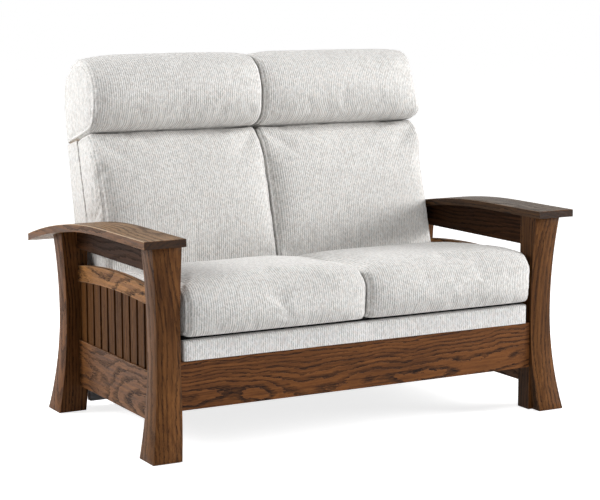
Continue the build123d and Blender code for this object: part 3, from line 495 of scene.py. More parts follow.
def seatSection(full, tuck):
    f = seatForm
    drawn = f["tuck"] * tuck
    nose = f["front"] - f["nose"] * full + drawn
    tip = nose - f["tip"]
    edge = f["thick"] + f["crown"] * 0.6 * full - drawn
    crest = edge + f["crest"] + f["crown"] * 0.4 * full
    low = f["clear"] + drawn
    rake, lean = slopes["rake"], slopes["lean"]

    def rearAlong(up):
        height = slopes["seatHeight"] + up * math.cos(rake)
        depth = backLine(height) - f["rearGap"] / math.cos(lean) - slopes["seatFront"] - up * math.sin(rake)
        return depth / (math.cos(rake) + math.sin(rake) * math.tan(lean)) - drawn

    k = 1 - 0.5**0.5  # how far a quarter round cuts its corner
    r, n, rear, foot = f["bellyRound"], f["noseRound"], f["rearRound"], f["footRound"]
    belly, faceLow = onSeat(nose + r, low), onSeat(nose, low + r)
    faceHigh, topFront = onSeat(tip, edge - n), onSeat(tip + n, edge)
    rearHigh, rearLow = rearAlong(edge - rear), rearAlong(0)
    topRear, backHigh = onSeat(rearHigh - rear, edge), onSeat(rearHigh, edge - rear)
    backLow, bottomRear = onSeat(rearLow, low + foot), onSeat(rearLow - foot, low)
    points = arcPoints(belly, onSeat(nose + r * k, low + r * k), faceLow, 6)
    middleFace = onSeat((nose + tip) / 2 - f["faceSwell"] * full, (low + r + edge - n) / 2)
    points += arcPoints(faceLow, middleFace, faceHigh, 12)
    points += arcPoints(faceHigh, onSeat(tip + n * k, edge - n * k), topFront, 10)
    points += arcPoints(topFront, onSeat((tip + n + rearHigh) / 2, crest), topRear, 38)
    points += arcPoints(topRear, onSeat(rearHigh - f["rearCut"], edge - f["rearCut"]), backHigh, 3)
    points += linePoints(backHigh, backLow, 10)
    points += arcPoints(backLow, onSeat(rearLow - f["footCut"], low + f["footCut"]), bottomRear, 3)
    points += linePoints(bottomRear, belly, 34)
    return points


backForm = {
    "thick": 0.141, "crown": 0.026, "seamCrown": 0.1, "bottom": 0.316, "flatTop": 0.484, "shoulder": 0.128,
    "drop": 0.040, "footRound": 0.012, "clear": 0.0006, "rearClear": 0.0022, "tuck": 0.010,
}


def backSection(full, tuck):
    f = backForm
    lean = slopes["lean"]
    drawn = f["tuck"] * tuck
    front, rear = -f["thick"] + drawn, -f["rearClear"] - drawn
    top, bottom = slopes["backTop"] - f["clear"] - drawn, f["bottom"] + drawn
    shoulder = top - f["shoulder"] * math.cos(lean)
    swell = f["crown"] * (f["seamCrown"] + (1 - f["seamCrown"]) * full)
    foot = (backLine(bottom + f["footRound"]) + front / math.cos(lean), bottom + f["footRound"])
    footRound = (backLine(bottom) + (front + f["footRound"]) / math.cos(lean), bottom)
    footRear = (backLine(bottom) + rear / math.cos(lean), bottom)
    flat = (backLine(f["flatTop"]) + front / math.cos(lean), f["flatTop"])
    high = onBack(shoulder, front - swell * 0.45)
    middle = onBack((f["flatTop"] + shoulder) / 2, front - swell)
    crease = onBack(top, front + f["drop"])
    roundMiddle = onBack(shoulder + (top - shoulder) * 0.6, front + f["drop"] * 0.3 - swell * 0.3)
    points = linePoints(foot, flat, 14)
    points += arcPoints(flat, middle, high, 28)
    points += arcPoints(high, roundMiddle, crease, 14)
    points += linePoints(crease, onBack(top, rear), 10)
    points += linePoints(onBack(top, rear), footRear, 40)
    points += linePoints(footRear, footRound, 10)
    return points


headForm = {
    "height": 0.255, "reach": 0.155, "rearReach": 0.098, "crown": 0.010, "nose": 0.020, "crease": 0.003,
    "bottomShare": 0.684, "overBack": 0.005, "clear": 0.0006, "tuck": 0.010,
}


def headSection(full, tuck):
    f = headForm
    cornerY, cornerZ = onBack(slopes["backTop"], 0)
    fall = math.tan(slopes["lean"])
    out, up, drawn = f["nose"] * full, f["crown"] * full, f["tuck"] * tuck
    lift = f["clear"] + drawn

    def ahead(a, b, forward, above):
        return (cornerY - f["reach"] * a - forward, cornerZ + f["height"] * b + above)

    def behind(a, b, rearward, above):
        return (cornerY + f["rearReach"] * a + rearward, cornerZ + f["height"] * b + above)

    forward = f["reach"] * f["bottomShare"] - drawn
    bottom = (cornerY - forward, cornerZ + forward * fall + lift + f["crease"])
    rearBase = onBack(slopes["backTop"], slopes["backThickness"] + f["overBack"])
    rearBottom = (rearBase[0] - drawn, rearBase[1] + lift + drawn * fall)
    outline = [
        bottom,
        ahead(0.86, 0.215, 0.55 * out - 0.8 * drawn, 0.2 * drawn),
        ahead(1.0, 0.50, out - drawn, 0),
        ahead(0.955, 0.70, 0.9 * out - drawn, 0.2 * up),
        ahead(0.80, 0.885, 0.55 * out - 0.8 * drawn, 0.7 * up - 0.7 * drawn),
        ahead(0.55, 0.985, 0.2 * out, 0.95 * up - drawn),
        ahead(0.25, 1.015, 0, up - drawn),
        behind(0.12, 0.975, 0, 0.95 * up - drawn),
        behind(0.54, 0.85, -0.4 * drawn, 0.7 * up - 0.8 * drawn),
        behind(0.86, 0.71, -0.8 * drawn, 0.3 * up - 0.3 * drawn),
        behind(1.0, 0.55, -drawn, 0),
        (cornerY + f["rearReach"] * 0.97 - drawn, cornerZ + f["height"] * 0.25),
        rearBottom,
    ]
    points = splinePoints(outline, 78)
    points += linePoints(rearBottom, bottom, 18)
    return points


cushionKinds = {
    "seat": {"section": seatSection, "reach": 0.590, "fill": 0.8, "cap": 0.012, "pressure": 3.2, "swell": 6.0},
    "back": {"section": backSection, "reach": 0.588, "fill": 0.7, "cap": 0.012, "pressure": 3.0, "swell": 5.6},
    "head": {"section": headSection, "reach": 0.588, "fill": 0.75, "cap": 0.012, "pressure": 3.0, "swell": 6.2},
}
# "stations" lie beside each seam, for its flange and groove; the groove and the panel's groove are each
# a depth, a distance from the seam and a width
sewing = {
    "inner": 0.0035, "round": 0.010, "stations": [0, 1.6 * mm, 3.6 * mm, 6.0 * mm, 10 * mm, 16 * mm],
    "evenFrom": 26 * mm, "evenCount": 22, "panelRings": (0.985, 0.965, 0.93, 0.84, 0.7, 0.5, 0.3, 0.12),
    "panelBulge": 5 * mm, "innerBulge": 0.3, "panelDepth": 0.08, "flange": 2.0 * mm, "flangeReach": 3.0 * mm,
    "groove": (2.4 * mm, 6.2 * mm, 2.2 * mm), "panelGroove": (3.0 * mm, -2.4 * mm, 1.6 * mm),
    "puckerHeight": 1.7 * mm, "puckerFade": 20 * mm, "panelPucker": 2.6 * mm, "panelFade": 16 * mm,
}


def sewCushion(kind, sign):
    section = cushionKinds[kind]["section"]
    inner, outer = sewing["inner"], cushionKinds[kind]["reach"]
    half, centre = (outer - inner) / 2, (outer + inner) / 2
    distances = np.concatenate([sewing["stations"], np.linspace(sewing["evenFrom"], half, sewing["evenCount"])])
    stations = [(-half + d, d) for d in distances] + [(half - d, d) for d in distances[-2::-1]]
    rings = []
    for place, d in stations:
        share = d / half
        full = 1 - (1 - share) ** cushionKinds[kind]["swell"]
        tuck = max(0.0, 1 - d / sewing["round"]) ** 2
        ring = np.array(section(full, tuck))
        rings.append((sign * (centre + place), d, ring))
    around = len(rings[0][2])
    middleRing = rings[len(rings) // 2][2]
    arc = np.concatenate([[0], np.cumsum(np.linalg.norm(np.diff(middleRing, axis=0), axis=1))])
    bm = bmesh.new()
    layer = bm.verts.layers.float.new("seamDistance")
    aroundLayer = bm.verts.layers.float.new("aroundDistance")
    bmesh.ops.create_grid(bm, x_segments=len(rings) - 1, y_segments=around, size=1)
    bm.verts.ensure_lookup_table()
    for index, vert in enumerate(bm.verts):
        row, column = divmod(index, len(rings))
        x, d, ring = rings[column]
        y, z = ring[row % around]
        vert.co = (x, y, z)
        vert[layer] = d
        vert[aroundLayer] = arc[row % around]
    bmesh.ops.remove_doubles(bm, verts=bm.verts, dist=0.01 * mm)
    for end in (rings[0], rings[-1]):
        x, _, ring = end
        outward = math.copysign(1, x - sign * centre)
        loop = [e for e in bm.edges if e.is_boundary and abs(e.verts[0].co.x - x) < 0.1 * mm]
        middle = Vector((0, *ring.mean(0)))
        bulge = sewing["panelBulge"] * (sewing["innerBulge"] if x * sign < centre else 1)
        before = 1.0
        for share in sewing["panelRings"]:
            made = bmesh.ops.extrude_edge_only(bm, edges=loop)["geom"]
            loop = [e for e in made if isinstance(e, bmesh.types.BMEdge)]
            for vert in [v for v in made if isinstance(v, bmesh.types.BMVert)]:
                vert.co.y = middle.y + (vert.co.y - middle.y) * share / before
                vert.co.z = middle.z + (vert.co.z - middle.z) * share / before
                vert.co.x = x + outward * bulge * (1 - share**6)
                vert[layer] = (share - 1) * sewing["panelDepth"]
            before = share
        bmesh.ops.holes_fill(bm, edges=loop, sides=0)
    bmesh.ops.triangulate(bm, faces=[f for f in bm.faces if len(f.verts) > 4])
    bmesh.ops.recalc_face_normals(bm, faces=bm.faces)
    return bm


def softNoise(point, scale, seed):
    return noise.noise(Vector((point[0] * scale + seed, point[1] * scale, point[2] * scale - seed)))


swelling = {"quality": 6, "mass": 0.25, "stretch": 30, "shear": 12, "bending": 3.0, "shrink": -0.006, "steps": 20}


def swellCushions(pieces):
    # air in the covers pushes the panels out between seams and resting faces
    scene = bpy.context.scene
    rests = {}
    for piece, kind in pieces:
        group = piece.vertex_groups.new(name="held")
        rest = np.array([v.co for v in piece.data.vertices])
        rests[piece.name] = rest
        for index, value in enumerate(heldShare(piece, kind)):
            group.add([index], float(value), "REPLACE")
        cloth = piece.modifiers.new("swell", "CLOTH")
        setting = cloth.settings
        setting.quality, setting.mass = swelling["quality"], swelling["mass"]
        setting.tension_stiffness = setting.compression_stiffness = swelling["stretch"]
        setting.shear_stiffness, setting.bending_stiffness = swelling["shear"], swelling["bending"]
        setting.vertex_group_mass, setting.pin_stiffness = "held", 1.0
        setting.shrink_min = swelling["shrink"]
        setting.use_pressure, setting.uniform_pressure_force = True, cushionKinds[kind]["pressure"]
        setting.effector_weights.gravity = 0.0
        cloth.collision_settings.use_collision = False
    for step in range(swelling["steps"]):
        scene.frame_set(step + 1)
    graph = bpy.context.evaluated_depsgraph_get()
    for piece, kind in pieces:
        rest = rests[piece.name]
        shape = piece.evaluated_get(graph).to_mesh()
        moved = np.empty(rest.size)
        shape.vertices.foreach_get("co", moved)
        change = moved.reshape(-1, 3) - rest
        size = np.linalg.norm(change, axis=1)
        cap = cushionKinds[kind]["cap"]
        change *= (cap * np.tanh(size / cap) / np.maximum(size, 1e-9))[:, None]
        piece.evaluated_get(graph).to_mesh_clear()
        piece.modifiers.clear()
        piece.data.vertices.foreach_set("co", (rest + change).ravel())
        piece.data.update()
    scene.frame_set(1)


def heldShare(piece, kind):
    # seams and the faces that rest on the frame keep their place
    data = piece.data
    seam = np.array([a.value for a in data.attributes["seamDistance"].data])
    normals = np.array([v.normal for v in data.vertices])
    held = (np.abs(seam) < 0.5 * mm).astype(float)
    if kind == "seat":
        down = -normals[:, 2] * math.cos(slopes["rake"]) - normals[:, 1] * math.sin(slopes["rake"])
        behind = normals[:, 1]
        held = np.maximum(held, np.maximum(down > 0.8, behind > 0.9))
    if kind == "back":
        behind = normals[:, 1] * math.cos(slopes["lean"]) - normals[:, 2] * math.sin(slopes["lean"])
        held = np.maximum(held, (behind > 0.8) | (normals[:, 2] < -0.7))
        low = np.array([v.co.z for v in data.vertices]) < 0.47
        held = np.maximum(held, low)
    if kind == "head":
        held = np.maximum(held, normals[:, 2] < -0.6)
    return held


# slow dents, each a scale and a depth, and one crease across the outer panel of a cushion: its height at a
# place along Y, and how it climbs from there
dents = {"broad": (7.0, 2.2 * mm), "small": (19.0, 0.9 * mm), "fade": 40 * mm}
crease = {
    "piece": "leftBackCushion", "deep": 2.6 * mm, "wide": 4 * mm, "height": 0.700, "place": 0.25, "climb": 0.35,
}


def finishSurface(piece, kind, seed):
    # flange and groove beside each seam, puckers that fade away from it, slow dents
    data = piece.data
    seam = np.array([a.value for a in data.attributes["seamDistance"].data])
    free = 1 - heldShare(piece, kind)
    points = np.array([v.co for v in data.vertices])
    normals = np.array([v.normal for v in data.vertices])
    middle = points.mean(0)
    arc = np.array([a.value for a in data.attributes["aroundDistance"].data])
    for index, (point, normal, d) in enumerate(zip(points, normals, seam)):
        side = math.copysign(3, point[0] - middle[0])
        pucker = noise.noise(Vector((arc[index] * 34, seed + side, d * 12)))
        pucker += 0.5 * noise.noise(Vector((arc[index] * 80, seed - side, d * 20)))
        ridge = sewing["flange"] * max(0.0, 1 - (d / sewing["flangeReach"]) ** 2) if d >= 0 else 0.0
        groove = 0.0
        for deep, away, wide in (sewing["groove"], sewing["panelGroove"]):
            groove += deep * math.exp(-(((d - away) / wide) ** 2))
        height, fade = ("puckerHeight", "puckerFade") if d > 0 else ("panelPucker", "panelFade")
        shift = ridge - groove + pucker * math.exp(-abs(d) / sewing[fade]) * sewing[height]
        dent = 0.0
        for (scale, deep), turn in ((dents["broad"], 0), (dents["small"], 5)):
            dent += softNoise(point, scale, seed + turn) * deep
        shift += dent * (1 - math.exp(-abs(d) / dents["fade"])) * free[index]
        if piece.name == crease["piece"] and d < 0 and point[0] < middle[0]:
            off = point[2] - crease["height"] - (point[1] - crease["place"]) * crease["climb"]
            shift -= crease["deep"] * math.exp(-((off / crease["wide"]) ** 2))
        points[index] = point + normal * shift
    data.vertices.foreach_set("co", points.ravel())
    data.update()


# how the stuffing has settled: where on the cushion, how far round about, and which way
settled = {
    "rightHeadCushion": [((0.60, 0.24, 1.035), (0.10, 0.12, 0.06), (-0.008, 0.010, 0)),
                         ((0.60, 0.23, 0.905), (0.12, 0.10, 0.045), (0.010, -0.014, -0.004))],
    "leftHeadCushion": [((-0.588, 0.30, 1.09), (0.12, 0.20, 0.08), (0, 0, -0.006))],
    "rightBackCushion": [((0.60, 0.26, 0.835), (0.09, 0.10, 0.060), (0.005, -0.026, 0.004))],
    "rightSeatCushion": [((0.52, -0.38, 0.49), (0.12, 0.20, 0.06), (0.002, 0, 0.005))],
    "leftSeatCushion": [((-0.55, -0.36, 0.49), (0.12, 0.20, 0.06), (0, 0, -0.005))],
}


def settle(piece):
    points = np.array([v.co for v in piece.data.vertices])
    for place, reach, move in settled.get(piece.name, []):
        near = np.exp(-(((points - np.array(place)) / np.array(reach)) ** 2).sum(1))
        points += near[:, None] * np.array(move)
    piece.data.vertices.foreach_set("co", points.ravel())
    piece.data.update()


def makeCushions():
    sewn = []
    for kind in ("seat", "back", "head"):
        for side, sign in (("left", -1), ("right", 1)):
            name = f"{kind}_cushion_{side}"
            bm = sewCushion(kind, sign)
            mesh = bpy.data.meshes.new(name + "Cover")
            bm.to_mesh(mesh)
            bm.free()
            piece = bpy.data.objects.new(f"{side}{kind.title()}Cushion", mesh)
            bpy.context.scene.collection.objects.link(piece)
            mesh.shade_smooth()
            sewn.append((piece, kind, name))
    swellCushions([(piece, kind) for piece, kind, _ in sewn])
    print("cushions swelled")
    for seed, (piece, kind, name) in enumerate(sewn):
        settle(piece)
        finishSurface(piece, kind, seed * 3.7)
        giveMaterial(piece, clothFront, clothSide)
        for face in piece.data.polygons:
            face.material_index = int(abs(face.normal.x) > 0.75)
        level = piece.modifiers.new("subdivide", "SUBSURF")
        level.levels = level.render_levels = 1
        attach(piece, name if kind == "seat" else "settle_frame")
        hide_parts(name)
        print("cushion", piece.name)


# covers of the frame, each lying on the boards that it is stapled to; "bend" and "foot" are each a height
# and the thickness of the back there, "footRail" a depth and a height
covers = {
    "halfWidth": 0.588, "sideInner": 0.5851, "sideRound": 1.6 * mm, "sideLow": 0.106, "wrapInner": 0.560,
    "wrapAhead": 2.05 * mm, "wrapUnder": 1.6 * mm, "topClear": 0.6 * mm, "skin": 3 * mm, "bend": (0.593, 0.103),
    "foot": (0.019, 0.182), "footRail": (0.020, 0.120),
}


def rearLine(skin):
    # points down the rear of the back, a skin's depth in front of its outside
    top = onBack(slopes["backTop"], slopes["backThickness"])
    (bendHeight, bendThickness), (footHeight, footThickness) = covers["bend"], covers["foot"]
    return [
        (top[0] - skin, top[1] + skin * math.sin(slopes["lean"])),
        (backLine(bendHeight) + bendThickness - skin, bendHeight),
        (backLine(footHeight) + footThickness - skin, footHeight),
    ]


def slab(bm, outline, low, high):
    # a flat shape in YZ given a thickness along X
    face = bm.faces.new([bm.verts.new((low, y, z)) for y, z in outline])
    made = bmesh.ops.extrude_face_region(bm, geom=[face])["geom"]
    for vert in [v for v in made if isinstance(v, bmesh.types.BMVert)]:
        vert.co.x = high


def softenEdges(bm, edges, radius, segments=3):
    bmesh.ops.bevel(
        bm, geom=list(edges), offset=radius, offset_type="OFFSET", segments=segments, profile=0.5,
        affect="EDGES", material=-1, clamp_overlap=True,
    )


def sliceAlong(bm, axis, low, high, step):
    # loops across the piece, so that its surface can wander
    normal = Vector((0, 0, 0))
    normal[axis] = 1
    for place in np.arange(low + step, high, step):
        geometry = bm.verts[:] + bm.edges[:] + bm.faces[:]
        bmesh.ops.bisect_plane(bm, geom=geometry, plane_co=normal * place, plane_no=normal, dist=0.01 * mm)


def wander(bm, direction, scale, amount, seed, where):
    direction = Vector(direction)
    for vert in bm.verts:
        vert.co += direction * noise.noise(vert.co * scale + Vector((seed, 0, seed))) * amount * where(vert)


def addPiece(bm, name, body, material, replaced):
    bmesh.ops.triangulate(bm, faces=[f for f in bm.faces if len(f.verts) > 4])
    bmesh.ops.recalc_face_normals(bm, faces=bm.faces)
    mesh = bpy.data.meshes.new(name)
    bm.to_mesh(mesh)
    bm.free()
    piece = bpy.data.objects.new(name, mesh)
    bpy.context.scene.collection.objects.link(piece)
    mesh.shade_smooth()
    giveMaterial(piece, material)
    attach(piece, body)
    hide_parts(replaced)
    return piece


def smoothByAngle(piece, degrees=35):
    piece.data.set_sharp_from_angle(angle=math.radians(degrees))


def makeSideCovers():
    # cloth over each side board, folded round its front edge over the ends of the webbing
    c = covers
    top, bend, foot = rearLine(c["skin"])
    slope = (bend[0] - foot[0]) / (bend[1] - foot[1])
    railDepth, railHeight = c["footRail"]
    rear = [
        top, bend, (foot[0] + slope * railHeight, foot[1] + railHeight),
        (foot[0] + slope * railHeight - railDepth, foot[1] + railHeight),
        (foot[0] + slope * (c["sideLow"] - foot[1]) - railDepth, c["sideLow"]),
    ]
    low, high = c["sideLow"], slopes["backTop"] - c["topClear"]
    ahead, under = [c[key] / math.cos(slopes["lean"]) for key in ("wrapAhead", "wrapUnder")]
    front = [(backLine(z) - ahead, z) for z in (low, high)]
    fold = front + [(backLine(z) - under, z) for z in (high, low)]
    for side, sign in (("left", -1), ("right", 1)):
        bm = bmesh.new()
        slab(bm, front + rear, sign * c["sideInner"], sign * c["halfWidth"])
        outer = [e for e in bm.edges if all(abs(abs(v.co.x) - c["halfWidth"]) < 0.1 * mm for v in e.verts)]
        softenEdges(bm, outer, c["sideRound"])
        slab(bm, fold, sign * c["wrapInner"], sign * (c["halfWidth"] - c["sideRound"]))
        piece = addPiece(
            bm, side + "BackSideCover", "settle_frame", clothSide, f"back_side_cover_{side}"
        )
        smoothByAngle(piece)


# "sway" is the scale, depth and seed of a slow wave in the cloth
outsideBack = {
    "lap": 0.1 * mm, "edgeRound": 1.4 * mm, "step": 0.042, "tightEdge": 0.05, "sway": (5.0, 1.6 * mm, 3.1),
}


def makeOutsideBack():
    # the cloth down the rear, pulled tight over the side boards with its edges turned in
    c, b = covers, outsideBack
    outer, inner = rearLine(0), rearLine(c["skin"] - b["lap"])
    bm = bmesh.new()
    slab(bm, outer + inner[::-1], -c["halfWidth"], c["halfWidth"])
    bmesh.ops.recalc_face_normals(bm, faces=bm.faces)

    def onOutside(vert):
        return any((Vector(point) - vert.co.yz).length < 0.1 * mm for point in outer)

    ends = [e for e in bm.edges if e.verts[0].co.x == e.verts[1].co.x and e.calc_length() > 20 * mm]
    softenEdges(bm, [e for e in ends if onOutside(e.verts[0])], b["edgeRound"])
    sliceAlong(bm, 0, -c["halfWidth"], c["halfWidth"], b["step"])
    sliceAlong(bm, 2, c["foot"][0], slopes["backTop"], b["step"])

    def free(vert):
        return min(1.0, max(0.0, (c["halfWidth"] - abs(vert.co.x)) / b["tightEdge"]))

    wander(bm, (0, 1, 0), *b["sway"], free)
    piece = addPiece(bm, "outsideBackCover", "settle_frame", clothFront, "outside_back")
    smoothByAngle(piece)


# fullness, ripple, pull and wave of the top edge are in millimetres
band = {
    "edgeRound": 8 * mm, "stepAcross": 12 * mm, "stepDown": 8 * mm, "skin": 9 * mm, "full": 1.6, "ripple": 1.1,
    "pull": 0.7, "topWave": 0.9,
}


def makeFrontBand():
    # the padded strip on the front rail, a little full between its ends
    low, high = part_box("front_band")
    bm = bmesh.new()
    bmesh.ops.create_cube(bm, size=1)
    bmesh.ops.scale(bm, vec=high - low, verts=bm.verts)
    bmesh.ops.translate(bm, vec=(low + high) / 2, verts=bm.verts)
    ahead = [e for e in bm.edges if all(v.co.y < low.y + 0.1 * mm for v in e.verts)]
    ahead = [e for e in ahead if max(v.co.z for v in e.verts) > high.z - 0.1 * mm]
    softenEdges(bm, ahead, band["edgeRound"], 5)
    sliceAlong(bm, 0, low.x, high.x, band["stepAcross"])
    sliceAlong(bm, 2, low.z, high.z, band["stepDown"])
    for vert in bm.verts:
        share = (vert.co.z - low.z) / (high.z - low.z)
        if vert.co.y < low.y + band["skin"] and abs(vert.co.x) < high.x - band["skin"]:
            swell = band["full"] * math.sin(math.pi * share)
            swell += band["ripple"] * noise.noise(Vector((vert.co.x * 11, vert.co.z * 20, 4.2)))
            swell += band["pull"] * (noise.noise(Vector((vert.co.x * 45, 1.5, 0))) * (1 - share) ** 2)
            vert.co.y -= swell * mm
            vert.co.z += band["topWave"] * noise.noise(Vector((vert.co.x * 8, 7.7, 0))) * share**4 * mm
    piece = addPiece(bm, "frontBandCover", "settle_frame", bandCloth, "front_band")
    smoothByAngle(piece, 50)


# "quilt" is the distance between seams, "seam" their depth and "seamShare" how wide they are
deck = {
    "thick": 0.014, "round": 5 * mm, "stepAcross": 0.028, "stepAlong": 0.03, "quiltFrom": 0.588, "quilt": 0.168,
    "seam": 1.2 * mm, "seamShare": 0.2, "sag": 0.5 * mm,
}


def makeDeckPad():
    # the pad over the springs, quilted in lines from front to back
    low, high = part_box("seat_deck_pad")
    rake, thick = slopes["rake"], deck["thick"]
    length = (high.y - low.y - thick * math.sin(rake)) / math.cos(rake)
    bm = bmesh.new()
    bmesh.ops.create_cube(bm, size=1)
    bmesh.ops.scale(bm, vec=(high.x - low.x, length, thick), verts=bm.verts)
    softenEdges(bm, bm.edges, deck["round"], 3)
    sliceAlong(bm, 0, low.x, high.x, deck["stepAcross"])
    sliceAlong(bm, 1, -length / 2, length / 2, deck["stepAlong"])
    for vert in bm.verts:
        if vert.co.z > thick * 0.3:
            seam = abs(((vert.co.x + deck["quiltFrom"]) / deck["quilt"]) % 1 - 0.5) * 2
            vert.co.z -= deck["seam"] * max(0.0, seam - (1 - deck["seamShare"])) / deck["seamShare"]
            vert.co.z -= deck["sag"] * (1 + noise.noise(vert.co * 14))
    bm.transform(Matrix.Translation((low + high) / 2) @ Matrix.Rotation(-rake, 4, "X"))
    piece = addPiece(bm, "seatDeckPad", "settle_frame", liningCloth, "seat_deck_pad")
    smoothByAngle(piece, 50)


dustCloth = {"cells": (48, 22), "thick": 0.5 * mm, "clear": 0.1 * mm, "sag": 2.2 * mm, "folds": 0.4}


def makeDustCover():
    # thin black cloth stapled under the seat frame, sagging a little between the boards
    low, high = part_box("dust_cover")
    bm = bmesh.new()
    across, along = dustCloth["cells"]
    bmesh.ops.create_grid(bm, x_segments=across, y_segments=along, size=0.5)
    bmesh.ops.scale(bm, vec=(high.x - low.x, high.y - low.y, 1), verts=bm.verts)
    centre = (low + high) / 2
    for vert in bm.verts:
        alongX, alongY = vert.co.x / (high.x - low.x), vert.co.y / (high.y - low.y)
        sag = math.cos(math.pi * alongX) * math.cos(math.pi * alongY)
        fold = noise.noise(Vector((vert.co.x * 16, vert.co.y * 16, 9.1)))
        share = 1 - dustCloth["folds"] + dustCloth["folds"] * fold
        vert.co.z = high.z - dustCloth["clear"] - dustCloth["sag"] * max(0.0, sag) * share
    bmesh.ops.translate(bm, vec=(centre.x, centre.y, 0), verts=bm.verts)
    bmesh.ops.solidify(bm, geom=bm.faces[:], thickness=dustCloth["thick"])
    piece = addPiece(bm, "dustCoverCloth", "settle_frame", liningCloth, "dust_cover")


straps = {
    "count": 7, "width": 0.050, "thick": 1.3 * mm, "clear": 0.1 * mm, "end": 0.016, "reach": 0.5845,
    "edgeRound": 0.4 * mm,
}


def makeWebbing():
    # flat woven straps across the front of the back frame
    bm = bmesh.new()
    up = straps["width"] * math.cos(slopes["lean"])
    lowest = backForm["bottom"] + straps["end"]
    step = (slopes["backTop"] - straps["end"] - up - lowest) / (straps["count"] - 1)
    for index in range(straps["count"]):
        z = lowest + index * step
        corners = [onBack(z, -straps["clear"]), onBack(z + up, -straps["clear"])]
        corners += [onBack(z + up, -straps["thick"]), onBack(z, -straps["thick"])]
        slab(bm, corners, -straps["reach"], straps["reach"])
    softenEdges(bm, [e for e in bm.edges if e.calc_length() > 1], straps["edgeRound"], 2)
    piece = addPiece(bm, "backWebbingStraps", "settle_frame", strapCloth, "back_webbing")
    smoothByAngle(piece)


footRail = {"edgeRound": 1.8 * mm, "stepAcross": 0.03, "stepUp": 0.02, "sway": (16.0, 0.5 * mm, 6.3)}


def makeFootRailCover():
    # the board across the foot of the back, wrapped in the dark cloth
    _, bend, low = rearLine(covers["skin"])
    slope = (bend[0] - low[0]) / (bend[1] - low[1])
    depth, height = covers["footRail"]
    high = (low[0] + slope * height, low[1] + height)
    bm = bmesh.new()
    face = [low, high, (high[0] - depth, high[1]), (low[0] - depth, low[1])]
    slab(bm, face, -covers["halfWidth"], covers["halfWidth"])
    softenEdges(bm, bm.edges[:], footRail["edgeRound"])
    sliceAlong(bm, 0, -covers["halfWidth"], covers["halfWidth"], footRail["stepAcross"])
    sliceAlong(bm, 2, low[1], high[1], footRail["stepUp"])
    wander(bm, (0, 1, 0), *footRail["sway"], lambda v: float(v.co.y < low[0] - depth * 0.5))
    piece = addPiece(bm, "footRailCover", "settle_frame", greyLining, "back_foot_rail")
    smoothByAngle(piece, 50)


edgeRounds = {
    "front_leg": 1.2 * mm, "rear_leg": 1.2 * mm, "arm": 2.2 * mm, "upper_side_rail": 0.8 * mm,
    "arched_side_rail": 0.8 * mm, "lower_side_rail": 1.2 * mm, "side_slats": 0.6 * mm, "front_rail": 1.2 * mm,
}


def softenBoards():
    # real boards have eased edges; a live bevel rounds those of the CAD meshes
    for name, width in edgeRounds.items():
        for ending in ("_left", "_right", ""):
            piece = nodes.get(name + ending)
            if piece is None:
                continue
            weld = piece.modifiers.new("weld", "WELD")
            weld.merge_threshold = 0.02 * mm
            ease = piece.modifiers.new("easedEdges", "BEVEL")
            ease.width, ease.segments, ease.limit_method = width, 2, "ANGLE"
            ease.angle_limit = math.radians(40)
            ease.use_clamp_overlap = True


stageValues = {
    "floorSize": 90.0, "floorColour": (0.80, 0.80, 0.80), "floorLift": 0.80, "worldLight": 0.25, "worldSlope": 0.24,
}
lamps = {
    "leftWindow": {"place": (-4.5, 2.2, 2.6), "size": 2.6, "power": 256},
    "rightSoftbox": {"place": (5.5, -2.7, 1.85), "size": 2.2, "power": 300},
    "topPanel": {"place": (0.3, -1.8, 4.1), "size": 2.0, "power": 66},
}
cameraValues = {
    "place": (-2.66277, -4.88681, 1.31759), "azimuth": -28.7124, "elevation": 8.3457, "roll": -0.1756,
    "lens": 1776.9 / 600 * 36,
}


def seenRays(tree):
    # 1 for the rays that see the background, straight or in a gloss, and 0 for those that light the object
    path = addNode(tree, "LightPath")
    seen = mathNode(tree, "MAXIMUM", path.outputs["Is Camera Ray"], path.outputs["Is Glossy Ray"])
    return mathNode(tree, "MAXIMUM", seen, path.outputs["Is Transmission Ray"])


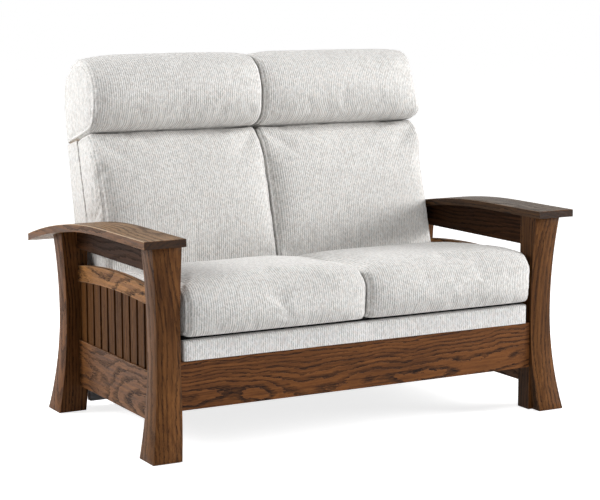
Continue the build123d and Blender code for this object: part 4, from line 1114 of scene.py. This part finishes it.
def makeStage():
    # a pale floor that keeps the shadow, in a white room
    bm = bmesh.new()
    bmesh.ops.create_circle(bm, cap_ends=True, segments=64, radius=stageValues["floorSize"])
    mesh = bpy.data.meshes.new("paleFloor")
    bm.to_mesh(mesh)
    bm.free()
    floor = bpy.data.objects.new("paleFloor", mesh)
    bpy.context.scene.collection.objects.link(floor)
    material = bpy.data.materials.new("paleFloorPaint")
    material.use_nodes = True
    tree = material.node_tree
    tree.nodes.clear()
    diffuse = addNode(tree, "BsdfDiffuse", {"Color": (*stageValues["floorColour"], 1)})
    lift = mathNode(tree, "MULTIPLY", seenRays(tree), stageValues["floorLift"])
    glow = addNode(tree, "Emission", {"Color": (1, 1, 1, 1), "Strength": lift})
    both = addNode(tree, "AddShader", {0: diffuse.outputs[0], 1: glow.outputs[0]})
    end = addNode(tree, "OutputMaterial")
    tree.links.new(both.outputs[0], end.inputs[0])
    giveMaterial(floor, material)
    world = bpy.data.worlds.new("paleWorld")
    bpy.context.scene.world = world
    world.use_nodes = True
    tree = world.node_tree
    background = tree.nodes["Background"]
    # the object is lit by a room that is dark at the left and pale at the right
    aside = addNode(tree, "SeparateXYZ", {0: addNode(tree, "TexCoord").outputs["Generated"]}).outputs[0]
    room = mathNode(tree, "MULTIPLY_ADD", aside, stageValues["worldSlope"], stageValues["worldLight"], clamp=True)
    level = mathNode(tree, "MULTIPLY_ADD", seenRays(tree), mathNode(tree, "SUBTRACT", 1.0, room), room)
    background.inputs["Color"].default_value = (1, 1, 1, 1)
    tree.links.new(level, background.inputs["Strength"])


def makeLamps():
    aim = Vector((0, 0, 0.5))  # the middle of the settle
    for name, values in lamps.items():
        light = bpy.data.lights.new(name, "AREA")
        light.shape, light.size, light.energy = "DISK", values["size"], values["power"]
        lamp = bpy.data.objects.new(name, light)
        lamp.location = values["place"]
        lamp.rotation_euler = (aim - Vector(values["place"])).to_track_quat("-Z", "Y").to_euler()
        bpy.context.scene.collection.objects.link(lamp)


def makeCamera():
    data = bpy.data.cameras.new("photoCamera")
    data.sensor_width, data.lens = 36.0, cameraValues["lens"]
    data.clip_end = 300.0
    camera = bpy.data.objects.new("photoCamera", data)
    azimuth, elevation = math.radians(cameraValues["azimuth"]), math.radians(cameraValues["elevation"])
    back = Vector((
        math.sin(azimuth) * math.cos(elevation), -math.cos(azimuth) * math.cos(elevation), math.sin(elevation)
    ))
    turn = (-back).to_track_quat("-Z", "Y").to_matrix().to_4x4()
    roll = Matrix.Rotation(math.radians(cameraValues["roll"]), 4, "Z")
    camera.matrix_world = Matrix.Translation(cameraValues["place"]) @ turn @ roll
    bpy.context.scene.collection.objects.link(camera)
    bpy.context.scene.camera = camera
    bpy.context.scene.view_settings.view_transform = "Standard"


dressBoards()
softenBoards()
dressPlainParts()
print("boards and plain parts dressed")
makeFrontBand()
makeSideCovers()
makeOutsideBack()
makeDeckPad()
makeDustCover()
makeWebbing()
makeFootRailCover()
print("covers made")
makeCushions()
makeStage()
makeLamps()
makeCamera()
print("floor, lamps and camera placed")

print("settle ready")
